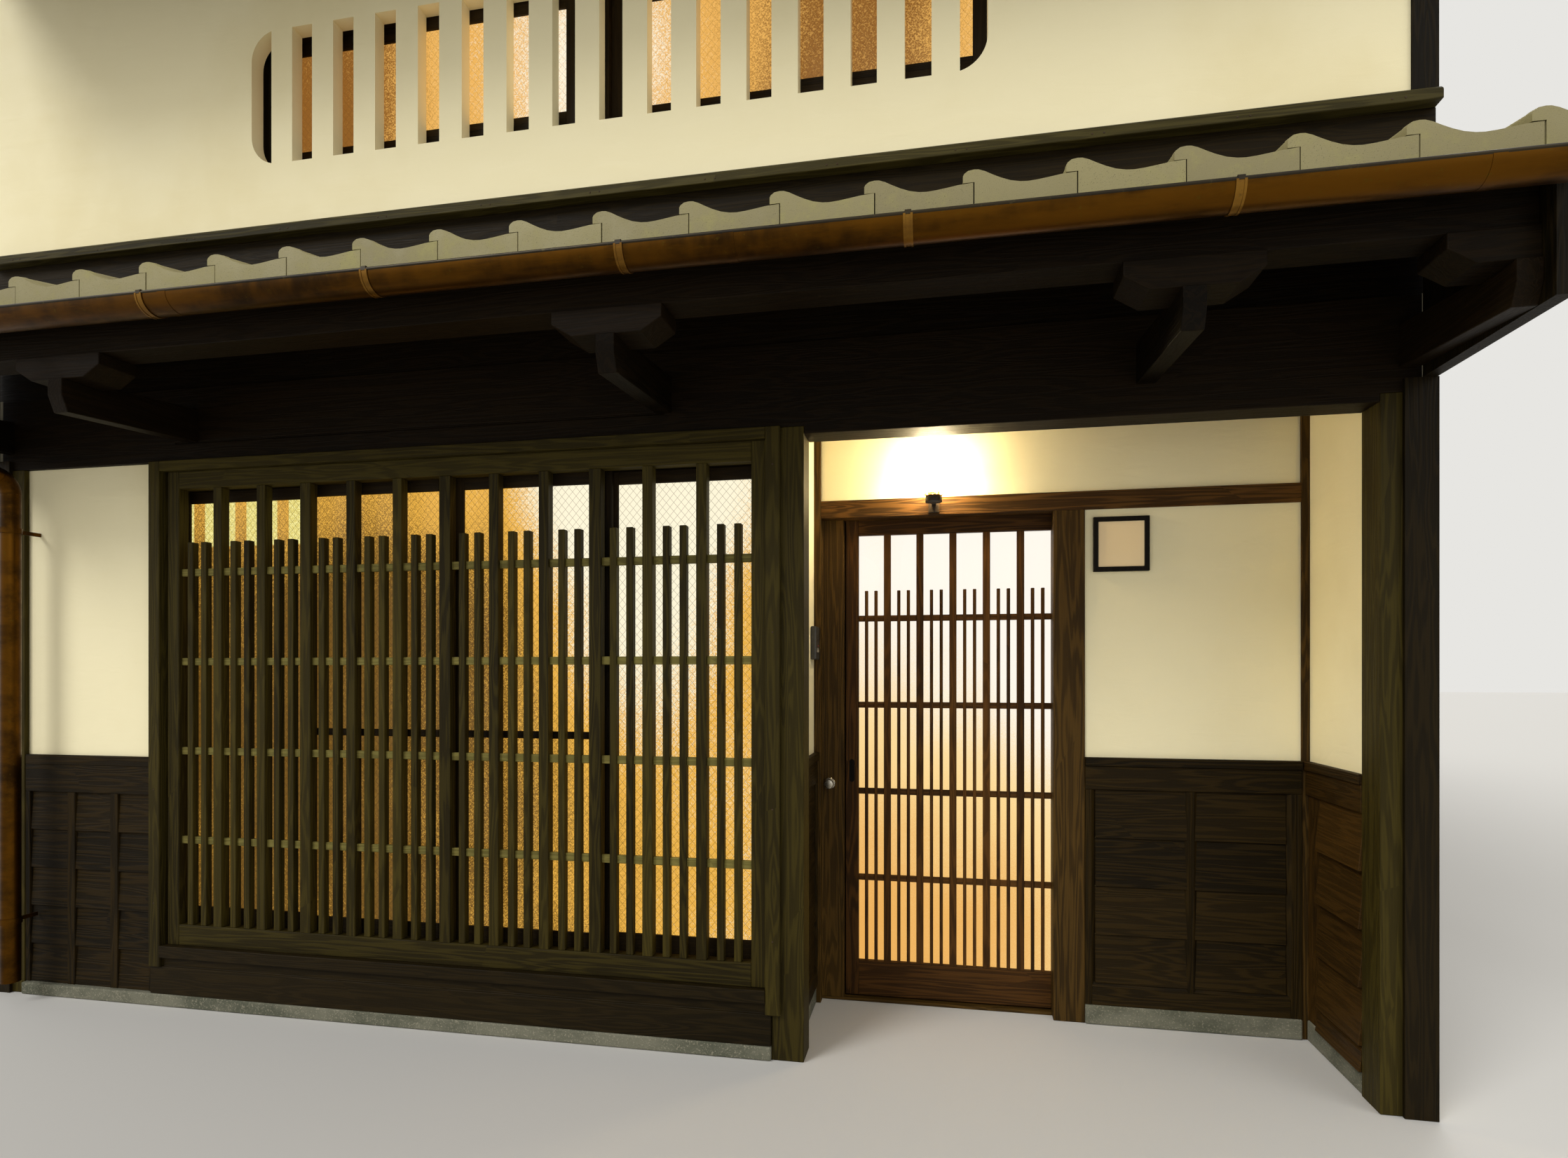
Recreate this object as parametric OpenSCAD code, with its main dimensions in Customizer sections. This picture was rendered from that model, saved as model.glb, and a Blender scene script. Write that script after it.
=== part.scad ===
// Townhouse of a Kyoto merchant row: two storeys between plain party walls, timber front with a
// parent-and-child lattice bay, a recessed entrance with a sliding lattice door, a tiled pent roof
// on bracket arms, and a plastered upper storey with a barred slot window.
// X runs along the street, Y from the street (front) to the rear, Z up. The origin is on the
// ground in the middle of the house. Front pieces are drawn with Y = 0 on the face of the posts.

/* [House] */
// Width over the two party walls
house_w = 5690; // [5500:10:6100]
// Depth between the faces of the front and the rear posts
house_d = 7880; // [6000:10:10000]
// Side of the square posts
post = 120; // [105:1:130]
// Thickness of a party wall
party_t = 125; // [105:1:135]
// How far a party wall stands out past the end post
post_inset = 43; // [30:1:60]
// Top of the upper walls at their outer face
wall_top = 4620; // [4450:10:5200]

/* [Front beam and posts] */
// Underside of the front beam
beam_z = 2311; // [2290:1:2400]
// Height of the front beam
beam_h = 309; // [240:1:330]
// Clear width of the entrance recess between its front posts
entrance_w = 1870; // [1700:10:2000]
// Thickness of the board under the beam over the entrance
head_board_h = 28; // [15:1:40]
// Height of the shutter groove above the underside of the beam
groove_z = 74; // [60:1:120]
// Height and depth of the shutter groove
groove = 7; // [4:1:12]
// Distance of the groove's start from the left side board
groove_start = 113; // [60:1:300]
// Distance of the groove's end from the corner post
groove_stop = 409; // [60:1:600]
// Width of the board that closes each end of the front
end_board_w = 97; // [80:1:100]
// Thickness of the end boards
end_board_t = 14; // [8:1:25]
// Distance of an end board's edge from the side of the house
end_board_in = 2; // [0:1:6]

/* [Lattice bay] */
// Width of the lattice frame
lattice_w = 2602; // [2300:10:2700]
// Joint between the lattice frame and the corner post
lattice_gap = 20; // [10:1:30]
// Top of the ledge that the lattice stands on
ledge_z = 260; // [220:1:300]
// Height of the ledge board
ledge_h = 50; // [30:1:60]
// How far the ledge stands out in front of the posts
ledge_out = 25; // [15:1:40]
// Height of the stepped board under the ledge
step_h = 41; // [20:1:60]
// How far the stepped board stands out
step_out = 5; // [2:1:10]
// How far the board on the curb stands out
plinth_out = 12; // [8:1:14]
// Height of the stone curb under the front
curb_h = 52; // [40:1:80]
// How far the stone curb stands out in front of the posts
curb_out = 15; // [5:1:30]
// Joint between neighbouring curb stones
curb_joint = 8; // [3:1:12]
// Depth of the lattice frame
frame_t = 50; // [45:1:55]
// Clearance between the lattice frame and the sill and head of the window
frame_clear = 5; // [2:1:8]
// Width of the frame's stiles
frame_stile = 56; // [45:1:70]
// Height of the frame's bottom rail
frame_low_h = 87; // [60:1:110]
// Height of the frame's top rail
frame_top_h = 74; // [50:1:90]
// Height of the batten over the lattice
batten_h = 43; // [30:1:60]
// Width of the boards beside the lattice
side_board_w = 55; // [45:1:70]
// How far the side boards stand out in front of the posts
side_board_out = 22; // [12:1:30]
// Number of gaps between parent bars
parent_gaps = 12; // [6:1:12]
// Width of a parent bar
parent_w = 40; // [30:1:46]
// Width of a parent bar at a panel joint
joint_parent_w = 48; // [40:1:56]
// Depth of a parent bar
parent_d = 42; // [36:1:45]
// Width of a child bar
child_w = 27; // [20:1:32]
// Depth of a child bar
child_d = 30; // [22:1:34]
// How far the child bars lie behind the face of the parent bars
child_back = 4; // [2:1:6]
// Height of the tops of the child bars
child_top = 1967; // [1880:1:2050]
// Height of a lattice rail
rail_h = 31; // [20:1:40]
// Thickness of a lattice rail
rail_t = 14; // [8:1:18]
// How far the rails lie behind the face of the parent bars
rail_back = 16; // [10:1:18]
// Height of the middle of the uppermost rail
rail_z = 1840; // [1700:1:1860]
// Distance between lattice rails
rail_pitch = 378.5; // [340:0.5:400]

/* [Ground floor windows] */
// Height of the window sill
sill_h = 70; // [50:1:80]
// Height of the window head
head_h = 111; // [80:1:120]
// Thickness of a sash
sash_t = 24; // [18:1:26]
// Clearance between the lattice frame and the nearer sashes
track_clear = 12; // [8:1:16]
// Clearance between neighbouring sashes
sash_gap = 6; // [4:1:8]
// Width of a sash stile
sash_stile = 55; // [40:1:60]
// Height of a sash's bottom rail
sash_low = 70; // [50:1:90]
// Height of a sash's top rail
sash_top = 50; // [40:1:60]
// Height of the middle rail of the two inner sashes above the ground
sash_mid_z = 1155; // [1000:1:1300]
// Height of the middle rail itself
sash_mid = 29; // [20:1:40]
// Overlap of neighbouring sashes
sash_lap = 40; // [30:1:60]
// Joint between the two middle sashes
sash_joint = 1; // [0.5:0.5:3]
// Thickness of the window glass
glass_t = 5; // [4:1:8]

/* [Plaster walls and wainscots] */
// How far the plaster lies behind the face of the posts
plaster_back = 20; // [18:1:30]
// Thickness of a plaster wall
plaster_t = 90; // [75:1:100]
// Cover of plaster over the lattice post
post_cover = 25; // [15:1:40]
// Top of the wainscot on the front wall
wainscot_z = 1054; // [900:1:1150]
// Height of the wainscot's top rail
wainscot_rail = 162; // [80:1:180]
// Top of the wainscots in the entrance
cap_z = 1074; // [950:1:1150]
// Height of their cap
cap_h = 34; // [20:1:40]
// How far the cap stands out over the rail
cap_out = 8; // [4:1:15]
// Height of the rail under the cap
cap_rail = 95; // [60:1:110]
// Pitch of the clapboards
clap_pitch = 195; // [150:1:220]
// Thickness of a clapboard at its lower edge
clap_t = 13; // [9:1:14]
// Depth of wainscot rails and battens
batten_t = 17; // [15:1:18]
// Width of a wainscot batten
batten_w = 39; // [30:1:50]
// How far the battens lie behind the face of the rails
batten_in = 1; // [0:0.5:3]
// Width of a wainscot's edge stile
stile_w = 25; // [20:1:40]
// Height of a wainscot's bottom rail
foot_rail = 94; // [60:1:110]

/* [Entrance recess] */
// Depth of the recess
recess_d = 550; // [450:5:700]
// How far the left wall of the recess lies behind the corner post's side
recess_left = 48; // [30:1:60]
// How far the right wall of the recess lies behind the right post's side
recess_right = 15; // [8:1:18]
// Thickness of the left wall of the recess
recess_wall_t = 80; // [70:1:100]
// How far the plaster of the back wall lies behind the face of its posts
back_in = 10; // [5:1:18]
// Clearance between the back wall and the sliding door
wall_clear = 7; // [6:0.5:8]
// Height of the recess ceiling
ceiling_z = 2550; // [2450:5:2600]
// Thickness of the ceiling boards
ceiling_t = 12; // [9:1:20]
// Height of the stone curbs in the recess
recess_curb_h = 78; // [50:1:90]
// How far those curbs stand out from the walls
recess_curb_out = 11; // [5:1:11]
// Reveal of the inner jamb post
jamb_w = 30; // [20:1:50]
// Depth of the jamb posts
jamb_d = 120; // [112:1:130]
// Width of the fixed panel beside the door
side_panel_w = 94; // [70:1:120]
// Width of the door post
door_post_w = 122; // [100:1:140]
// Reveal of the back corner post
corner_w = 29; // [20:1:45]
// Underside of the door lintel
lintel_z = 2075; // [1950:1:2150]
// Height of the door lintel
lintel_h = 75; // [60:1:90]
// Depth of the door lintel
lintel_d = 150; // [130:1:160]
// Depth of the groove in the lintel
lintel_groove = 20; // [15:1:30]
// How far the wall over the lintel lies behind the lintel's face
transom_in = 15; // [8:1:25]
// Thickness of the wall over the lintel
transom_t = 100; // [80:5:120]
// Top of the door sill
door_sill_z = 12; // [10:1:16]
// How far the sill lies behind the face of the posts
sill_back = 50; // [30:1:60]

/* [Sliding door] */
// Width of the door leaf
leaf_w = 914; // [860:1:940]
// Thickness of the door leaf
leaf_t = 35; // [32:1:38]
// Distance from the front of the back wall to the face of the leaf
leaf_back = 77; // [75:1:80]
// Clearance round the moving leaf
leaf_gap = 5; // [5:0.5:7]
// How far the closed leaf laps behind the door post
leaf_lap = 57; // [50:1:60]
// Width of the leaf's stiles
leaf_stile = 55.5; // [48:0.5:60]
// Height of the leaf's bottom rail
leaf_low = 149; // [110:1:180]
// Height of the leaf's top rail
leaf_top = 80; // [60:1:100]
// Number of gaps between the parent bars of the leaf
leaf_gaps = 6; // [4:1:6]
// Width of a parent bar of the leaf
leaf_parent = 30; // [22:1:34]
// Width of a child bar of the leaf
leaf_child = 14; // [10:1:18]
// Depth of the bars of the leaf
leaf_bar_d = 18; // [14:1:20]
// Height of the tops of the leaf's child bars
leaf_child_top = 1770; // [1700:1:1900]
// Height of the leaf's uppermost rail
leaf_rail_z = 1650; // [1560:1:1680]
// Distance between the leaf's rails
leaf_rail_pitch = 374; // [330:1:390]
// Height of a rail of the leaf
leaf_rail = 26; // [18:1:32]
// Thickness of a rail of the leaf
leaf_rail_t = 12; // [8:1:13]
// How far the rails lie behind the face of the bars
leaf_rail_in = 4; // [1:1:5]
// How far the child bars lie behind the faces of the parent bars
leaf_child_in = 1; // [0:0.5:3]
// Thickness of the leaf's glass
leaf_glass_t = 4; // [3:1:6]
// Clearance between the bars and the glass
leaf_glass_gap = 4; // [2:1:6]
// Length of the recessed finger pull
pull_l = 94; // [70:1:120]
// Width of the recessed finger pull
pull_w = 18; // [14:1:26]
// Depth of the recessed finger pull
pull_d = 8; // [5:1:12]
// Height of the finger pull's lower end
pull_z = 946; // [850:1:1100]
// Radius of a door roller
roller_r = 15; // [12:1:18]
// How far a roller stands out under the leaf
roller_drop = 6; // [5:1:8]
// Play between a roller and the sill
roller_gap = 0.3; // [0.2:0.1:0.5]
// Thickness of a roller
roller_t = 8; // [6:1:12]
// Distance of a roller's axle from the edge of the leaf
roller_in = 110; // [60:1:200]
// Diameter of the knob on the fixed panel
knob_d = 42; // [34:1:50]
// Diameter of its rose
rose_d = 49; // [40:1:60]
// Thickness of its rose
rose_t = 6; // [3:1:8]
// Diameter of its neck
neck_d = 20; // [14:1:28]
// Distance from the panel to the back of the grip
neck_l = 22; // [15:1:35]
// Length of the grip
grip_l = 20; // [14:1:30]
// How far the knob stands left of the middle of the fixed panel
knob_left = 15; // [0:1:20]
// Height of the knob
knob_z = 936; // [850:1:1100]

/* [Entrance fittings] */
// Outer width of the framed sign
sign_w = 213; // [180:1:260]
// Outer height of the framed sign
sign_h = 220; // [180:1:260]
// Height of the sign's lower edge
sign_z = 1822; // [1700:1:1850]
// Distance of the sign from the door post
sign_x = 32; // [15:1:60]
// Width of the sign's frame
sign_frame = 19; // [12:1:25]
// Thickness of the sign's frame
sign_t = 16; // [10:1:20]
// How far the sign's bare panel lies behind its frame
sign_sink = 6; // [3:1:10]
// Height of the middle of the intercom
intercom_z = 1540; // [1400:1:1600]
// Height of the intercom
intercom_h = 140; // [110:1:170]
// Width of the intercom
intercom_w = 90; // [70:1:100]
// Thickness of the intercom
intercom_t = 25; // [15:1:35]
// Distance of the intercom from the corner of the recess
intercom_in = 8; // [4:1:60]
// Distance of the lamp from the jamb post
lamp_x = 477; // [350:1:600]
// Largest radius of the lamp's glass shade
lamp_r = 70; // [50:1:80]
// Height of the lamp's glass shade
lamp_h = 110; // [90:1:130]
// Radius of the shade at its foot
lamp_foot_r = 38.5; // [30:0.5:48]
// Thickness of the shade's glass
lamp_t = 4; // [3:1:6]
// Gap between the shade and the lintel
lamp_gap = 12; // [6:1:30]
// Height of the shade's foot over the underside of the lintel
lamp_up = 62; // [45:1:90]
// Radius of the holder under the shade
holder_r = 34; // [24:1:38]
// Height of the holder
holder_h = 26; // [18:1:35]
// Width of the lamp's plate on the lintel
plate_w = 44; // [30:1:60]
// Thickness of that plate
plate_t = 8; // [4:1:10]
// Distance of the plate from the edges of the lintel
plate_in = 8; // [4:1:15]
// Width of the lamp's arm
lamp_arm_w = 18; // [12:1:26]
// Height of the lamp's arm
lamp_arm_h = 14; // [10:1:18]

/* [Upper storey] */
// Lower edge of the upper plaster
upper_z = 3257; // [3150:1:3300]
// Height of the trim board under the plaster
trim_h = 45; // [35:1:60]
// How far the trim board stands out
trim_out = 35; // [20:1:50]
// Width and height of the bevel on the trim board
trim_bevel = 13; // [6:1:20]
// How far the boards under the trim lie behind the plaster face
upper_back = 8; // [4:1:15]
// Width of the board at the right end of the upper wall
upper_end_w = 76; // [50:1:95]
// How far that board stands out
upper_end_out = 10; // [5:1:20]
// Thickness of the upper floor
upper_floor_t = 40; // [30:1:60]
// Top of the upper floor
upper_floor_z = 2800; // [2720:5:2900]
// Thickness of the ground floor
floor_t = 12; // [8:1:20]
// Width of the barred slot window
slot_w = 2976; // [2400:1:3100]
// Middle of the slot window, measured from the middle of the house
slot_x = -27; // [-200:1:200]
// Height of the slot window
slot_h = 551; // [450:1:650]
// Lower edge of the slot window
slot_z = 3520; // [3450:1:3600]
// Radius of the slot window's corners
slot_r = 120; // [60:1:140]
// Number of plastered bars
bar_n = 15; // [9:1:15]
// Width of a plastered bar
bar_w = 98; // [70:1:105]
// Depth of a plastered bar
bar_d = 55; // [40:1:56]
// Distance between the plastered bars
bar_pitch = 192; // [160:1:194]
// How far the upper sashes lie behind the plaster face
upper_sash_back = 65; // [62:1:66]
// Overlap of the sash pocket round the slot window
pocket_lap = 40; // [30:1:60]
// Clearance between the plaster and the upper sashes
pocket_clear = 5; // [3:1:8]
// Thickness of an upper sash
upper_sash_t = 23; // [18:1:24]
// Clearance between the two upper sashes of a pair
upper_sash_gap = 7; // [3:1:8]
// Width of the bars of the upper window's frame
upper_frame_w = 32; // [20:1:38]
// Width of the post between the two pairs of upper sashes
upper_post_w = 120; // [80:1:150]
// Width of the stiles of an upper sash
upper_stile_w = 57; // [40:1:70]
// Height of the top rail of an upper sash
upper_head_rail = 54; // [40:1:70]
// Height of the bottom rail of an upper sash
upper_foot_rail = 108; // [80:1:120]

/* [Pent roof] */
// Rise of the pent roof for each unit of depth
pent_slope = 0.30; // [0.25:0.01:0.33]
// How far the tile edge stands out in front of the posts
pent_out = 686; // [640:1:720]
// Lower edge of the eave tiles
pent_z = 2665; // [2655:1:2680]
// Height of the face of an eave tile at its joints
tile_face = 61; // [50:1:75]
// Thickness of the lip of an eave tile
tile_lip = 22; // [18:1:30]
// Width of one tile
tile_w = 265; // [240:1:290]
// Place of a tile joint from the middle of the house
tile_x = 63; // [-130:1:130]
// Height of a tile's rolled edge over its joint
tile_roll = 37; // [25:1:42]
// Drop of the tile lip under the top of the roof boards
lip_drop = 22; // [15:1:30]
// Thickness of the roof boards
roof_board_t = 12; // [9:1:18]
// Overhang of the roofs past the party walls
verge_out = 55; // [30:1:80]
// Depth of a pent rafter
pent_rafter_h = 45; // [36:1:60]
// Width of a pent rafter
pent_rafter_w = 40; // [30:1:50]
// Distance between rafters
rafter_pitch = 455; // [300:1:500]
// Thickness of the fascia board
fascia_t = 14; // [10:1:20]
// Clearance of the arms, bolsters and purlin from the outer side of the end posts
end_clear = 6; // [4:1:12]
// Distance of the left arm from the left lattice post
arm_left = 164; // [100:1:400]
// Distance of the middle arm from the corner post
arm_mid = 413; // [200:1:600]
// Distance of the right arm from the right post
arm_right = 705; // [500:1:900]
// Thickness of the boards that close the ends of the eaves
eaves_side_t = 43; // [25:1:48]
// How far the boards at the ends of the eaves stand out in front of the posts
eaves_side_out = 592; // [580:1:610]
// Width of a bracket arm
arm_w = 62; // [50:1:80]
// How far an arm stands out in front of the posts
arm_out = 552; // [500:1:580]
// Underside of an arm at the beam
arm_root_z = 2387; // [2370:1:2400]
// Height of an arm at the beam
arm_root_h = 138; // [120:1:150]
// Underside of an arm at its end
arm_end_z = 2350; // [2330:1:2360]
// Length of the slant under an arm's end
arm_nose = 22; // [10:1:40]
// Height of the slant under an arm's end
arm_nose_h = 58; // [30:1:80]
// Height of the level seat at an arm's end
seat_z = 2466; // [2450:1:2480]
// Play of the bolster in its seat
seat_play = 12; // [5:1:20]
// Height of the step behind the seat
seat_step = 18; // [10:1:25]
// Length of a bolster
bolster_l = 365; // [300:1:420]
// Height of a bolster
bolster_h = 84; // [70:1:100]
// Depth of a bolster
bolster_d = 140; // [110:1:145]
// How far a bolster lies behind the end of its arm
bolster_in = 7; // [0:1:12]
// Length of the slant under each end of a bolster
bolster_cut = 68; // [40:1:100]
// Depth of the eaves purlin
purlin_d = 120; // [100:1:135]

/* [Gutters] */
// Outer radius of a gutter
gutter_r = 52; // [45:1:56]
// Thickness of the copper sheet
gutter_t = 3; // [2:0.5:4]
// Gap between the tile edge and the gutter
gutter_gap = 7; // [4:1:12]
// Depth of the gutter's axis under the tile edge
gutter_drop = 61; // [55:1:75]
// Distance between gutter straps
strap_pitch = 795; // [600:5:900]
// Shift of the straps along the gutter
strap_shift = 25; // [-60:1:60]
// Width of a gutter strap
strap_w = 25; // [18:1:35]
// How far a strap rises behind its gutter
strap_rise = 43; // [30:1:55]
// Radius of a downpipe
pipe_r = 35; // [28:1:40]
// Distance of a downpipe from the face of the posts
pipe_out = 100; // [85:1:130]
// Height of a downpipe's lower end
pipe_foot = 90; // [60:1:200]
// Gap between a downpipe and the end post
pipe_side = 26; // [15:1:60]
// Radius of a downpipe's bends, to its middle line
pipe_bend = 75; // [60:1:90]
// How much wider the elbows are than the pipe
elbow_more = 1.5; // [1:0.5:3]
// How far the pipe reaches into the elbows
elbow_lap = 5; // [3:1:8]
// Angle of the slanting run to the upright
pipe_tilt = 68; // [55:1:72]
// Length of the neck under the gutter
pipe_neck = 12; // [5:1:40]
// Joint between the neck and the gutter
solder_gap = 0.5; // [0.3:0.1:1]
// Height of the lower pipe clip over the pipe's end
clip_low = 250; // [100:10:600]
// Distance of the upper pipe clip from the front beam
clip_high = 300; // [150:10:600]
// Height of a pipe clip
clip_h = 24; // [15:1:35]
// Thickness of a pipe clip
clip_t = 4; // [2:1:6]
// Width of a pipe clip's arm
clip_arm = 8; // [5:1:14]

/* [Main roof] */
// Rise of the main roof for each unit of depth
main_slope = 0.42; // [0.35:0.01:0.48]
// Overhang of the main eaves in front of the posts
main_out = 640; // [500:10:750]
// Depth of a main rafter
main_rafter_h = 85; // [70:1:110]
// Width of a main rafter
main_rafter_w = 50; // [40:1:60]
// Distance of the blocks between main rafters from the wall's face
block_back = 30; // [10:1:50]
// Thickness of the blocks
block_t = 30; // [20:1:50]
// Thickness of the main roof's tiling
main_tile_t = 60; // [50:1:75]
// Side of the main roof's purlins
purlin_w = 135; // [110:1:150]
// Height of the ridge purlin
ridge_purlin_h = 175; // [140:1:200]
// Height of the ridge over the tiling
ridge_h = 210; // [150:1:260]
// Width of the ridge
ridge_w = 260; // [200:1:320]
// Radius of the round tiles that cap the ridge
cap_r = 78; // [60:1:90]
// Height of the lowest course of the ridge
ridge_base = 60; // [40:1:80]
// How far each course of the ridge stands back
ridge_step = 14; // [8:1:20]
// Thickness of the tile at each end of the ridge
ridge_end_t = 50; // [30:1:70]

/* [Hidden] */
$fn = 48;
// Section of a tile: distance from the joint and height over it, as shares of width and roll
TILE_WAVE = [[-0.105, 0.35], [-0.055, 0.86], [0, 1], [0.1, 0.82], [0.26, 0.2], [0.45, -0.22],
    [0.62, -0.22], [0.85, -0.02]];

// Lengths along the front
half_w = house_w / 2;
half_d = house_d / 2;
post_out = half_w - post_inset;
post_in = post_out - post;
room_x = half_w - party_t;
corner_r = post_in - entrance_w;
corner_l = corner_r - post;
lattice_r = corner_l - lattice_gap;
lattice_l = lattice_r - lattice_w;
board_l = lattice_l - lattice_gap - side_board_w;
board_r = lattice_r + side_board_w;
bay_l = board_l + board_r - corner_l;
roof_x = half_w + verge_out;

// Heights of the lattice frame
frame_z = beam_z - batten_h;
bars_z = ledge_z + frame_low_h;
bars_top = frame_z - frame_top_h;
beam_top = beam_z + beam_h;
plinth_z = ledge_z - ledge_h - step_h;

// Lattice bars share the clear width between the stiles in equal gaps
bars_l = lattice_l + frame_stile;
bars_w = lattice_w - 2 * frame_stile;
parent_pitch = (bars_w + parent_w) / parent_gaps;
child_space = (parent_pitch - parent_w - 2 * child_w) / 3;

// Ground floor window: four sashes in two tracks between the posts
window_w = corner_l - bay_l;
window_z = ledge_z + sill_h;
window_top = beam_z - head_h;
sash_q = window_w / 4;
track_y = frame_t + track_clear;
window_y = frame_t + frame_clear;
track_pitch = sash_t + sash_gap;

// Places across the recess
wall_l = corner_r - recess_left;
wall_r = post_in + recess_right;
jamb_r = wall_l + jamb_w;
panel_r = jamb_r + side_panel_w;
leaf_l = panel_r + leaf_gap;
leaf_r = leaf_l + leaf_w;
door_post_l = leaf_r - leaf_lap;
door_post_r = door_post_l + door_post_w;
back_r = wall_r - corner_w;

// Places in the depth of the recess
leaf_y = recess_d + leaf_back;
wall_back = leaf_y - wall_clear;
back_face = recess_d + back_in;
lintel_back = recess_d + lintel_d;
sill_y = recess_d + sill_back;
transom_face = recess_d + transom_in;
post_back = recess_d + jamb_d;

// Heights of the leaf
leaf_z = door_sill_z + roller_gap + roller_drop;
leaf_head = lintel_z + lintel_groove - leaf_gap;
leaf_low_z = leaf_z + leaf_low;
leaf_top_z = leaf_head - leaf_top;
leaf_open_w = leaf_w - 2 * leaf_stile;
leaf_pitch = (leaf_open_w + leaf_parent) / leaf_gaps;
leaf_space = (leaf_pitch - leaf_parent - 2 * leaf_child) / 3;
leaf_glass_y = leaf_y + leaf_bar_d + leaf_glass_gap;

// Pent roof: heights at the tile edge, as vertical distances
pent_board_z = pent_z + lip_drop;
pent_rafter_top = pent_board_z - roof_board_t;
pent_rafter_z = pent_rafter_top - pent_rafter_h;
rafter_end = tile_lip + fascia_t;
eaves_end = post_out - end_clear;
arm_xs = [-eaves_end + arm_w / 2, bay_l + arm_left, corner_l - arm_mid, post_in - arm_right,
    eaves_end - arm_w / 2];
bolster_y = -arm_out + bolster_in;
purlin_y = bolster_y + (bolster_d - purlin_d) / 2;
bolster_z = seat_z + bolster_h;
seat_l = bolster_d + seat_play;

// Gutter axis, measured from the face of the posts
pent_gutter_y = -pent_out - gutter_gap - gutter_r;
pent_gutter_z = pent_z - gutter_drop;

// Main roof: its underside meets the top of the walls at their outer face
main_rafter_top = wall_top + main_rafter_h;
main_board_z = main_rafter_top + roof_board_t;
ridge_gap = 2;

function pent_rise(y) = (y + pent_out) * pent_slope;
function main_rise(y) = y * main_slope;

module box(x, y, z)
    translate([x[0], y[0], z[0]]) cube([x[1] - x[0], y[1] - y[0], z[1] - z[0]]);

module along_x(x0, x1)
    translate([x0, 0, 0]) rotate([90, 0, 90]) linear_extrude(x1 - x0) children();

module along_y(y0, y1)
    translate([0, y1, 0]) rotate([90, 0, 0]) linear_extrude(y1 - y0) children();

module at_front() translate([0, -half_d, 0]) children();

module at_rear() mirror([0, 1, 0]) at_front() children();

module both_fronts() {
    at_front() children();
    at_rear() children();
}

// Sloping layer between two depths: bottom and top heights are given at the start
module slope_layer(x0, x1, y0, y1, slope, z0, z1)
    along_x(x0, x1) polygon([[y0, z0], [y1, z0 + (y1 - y0) * slope],
        [y1, z1 + (y1 - y0) * slope], [y0, z1]]);

module front_posts() color("#2c2418") both_fronts() {
    box([-post_out, -post_in], [0, post], [0, beam_z]);
    box([bay_l - post, bay_l], [plaster_back + post_cover, post], [curb_h, beam_z]);
    box([corner_l, corner_r], [0, post], [0, beam_z]);
    box([post_in, post_out], [0, post], [0, beam_z]);
}

module front_beam() color("#2a2318") both_fronts() {
    difference() {
        box([-post_out, post_out], [0, post], [beam_z, beam_top]);
        box([board_l + groove_start, corner_l - groove_stop], [-1, groove],
            [beam_z + groove_z, beam_z + groove_z + groove]);
    }
    box([corner_r, post_in], [0, post], [beam_z - head_board_h, beam_z]);
}

module end_boards() color("#2c2418") both_fronts() for (s = [0, 1]) mirror([s, 0, 0]) {
    box([half_w - end_board_w - end_board_in, half_w - end_board_in], [-end_board_t, 0], [0, arm_end_z]);
    along_x(eaves_end, eaves_end + eaves_side_t) polygon([[-eaves_side_out, arm_end_z],
        [-end_board_t, arm_end_z], [-end_board_t, pent_rafter_z + pent_rise(-end_board_t)],
        [-eaves_side_out, pent_rafter_z + pent_rise(-eaves_side_out)]]);
}

module curbs() color("#6f6c5c") {
    both_fronts() box([-post_in, corner_l], [-curb_out, post], [0, curb_h]);
    at_rear() box([corner_r, post_in], [-curb_out, post], [0, curb_h]);
    at_front() {
        box([door_post_r, back_r], [recess_d - recess_curb_out, wall_back], [0, recess_curb_h]);
        box([wall_r - recess_curb_out, room_x], [post, recess_d], [0, recess_curb_h]);
        box([corner_l + curb_joint, wall_l + recess_curb_out], [post, recess_d], [0, recess_curb_h]);
    }
}

// Boards that carry the lattice: a low board on the curb, a step and a ledge
module lattice_plinth() color("#2b2419") both_fronts() {
    back = plaster_back + post_cover;
    box([board_l, corner_l], [-plinth_out, back], [curb_h, plinth_z]);
    box([board_l + side_board_w, lattice_r], [-step_out, back], [plinth_z, ledge_z - ledge_h]);
    box([board_l + side_board_w, lattice_r], [-ledge_out, back], [ledge_z - ledge_h, ledge_z]);
    box([bay_l, corner_l], [back, post], [curb_h, ledge_z]);
}

module lattice_frame() color("#2a2318") both_fronts() difference() {
    box([lattice_l, lattice_r], [0, frame_t], [ledge_z, frame_z]);
    box([bars_l, bars_l + bars_w], [-1, frame_t + 1], [bars_z, bars_top]);
}

// Parent bars run from rail to rail, two child bars stand in each gap, and rails pass through all
module lattice_bars() color("#2d261b") both_fronts() translate([bars_l, 0, 0]) {
    for (i = [1 : parent_gaps - 1]) {
        w = i % 3 == 0 ? joint_parent_w : parent_w;
        x = i * parent_pitch - parent_w / 2;
        box([x - w / 2, x + w / 2], [0, parent_d], [bars_z, bars_top]);
    }
    for (i = [0 : parent_gaps - 1], k = [0, 1]) {
        x = i * parent_pitch + child_space + k * (child_space + child_w);
        box([x, x + child_w], [child_back, child_back + child_d], [bars_z, child_top]);
    }
    for (k = [0 : 3]) {
        z = rail_z - k * rail_pitch;
        box([0, bars_w], [rail_back, rail_back + rail_t], [z - rail_h / 2, z + rail_h / 2]);
    }
}

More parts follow.
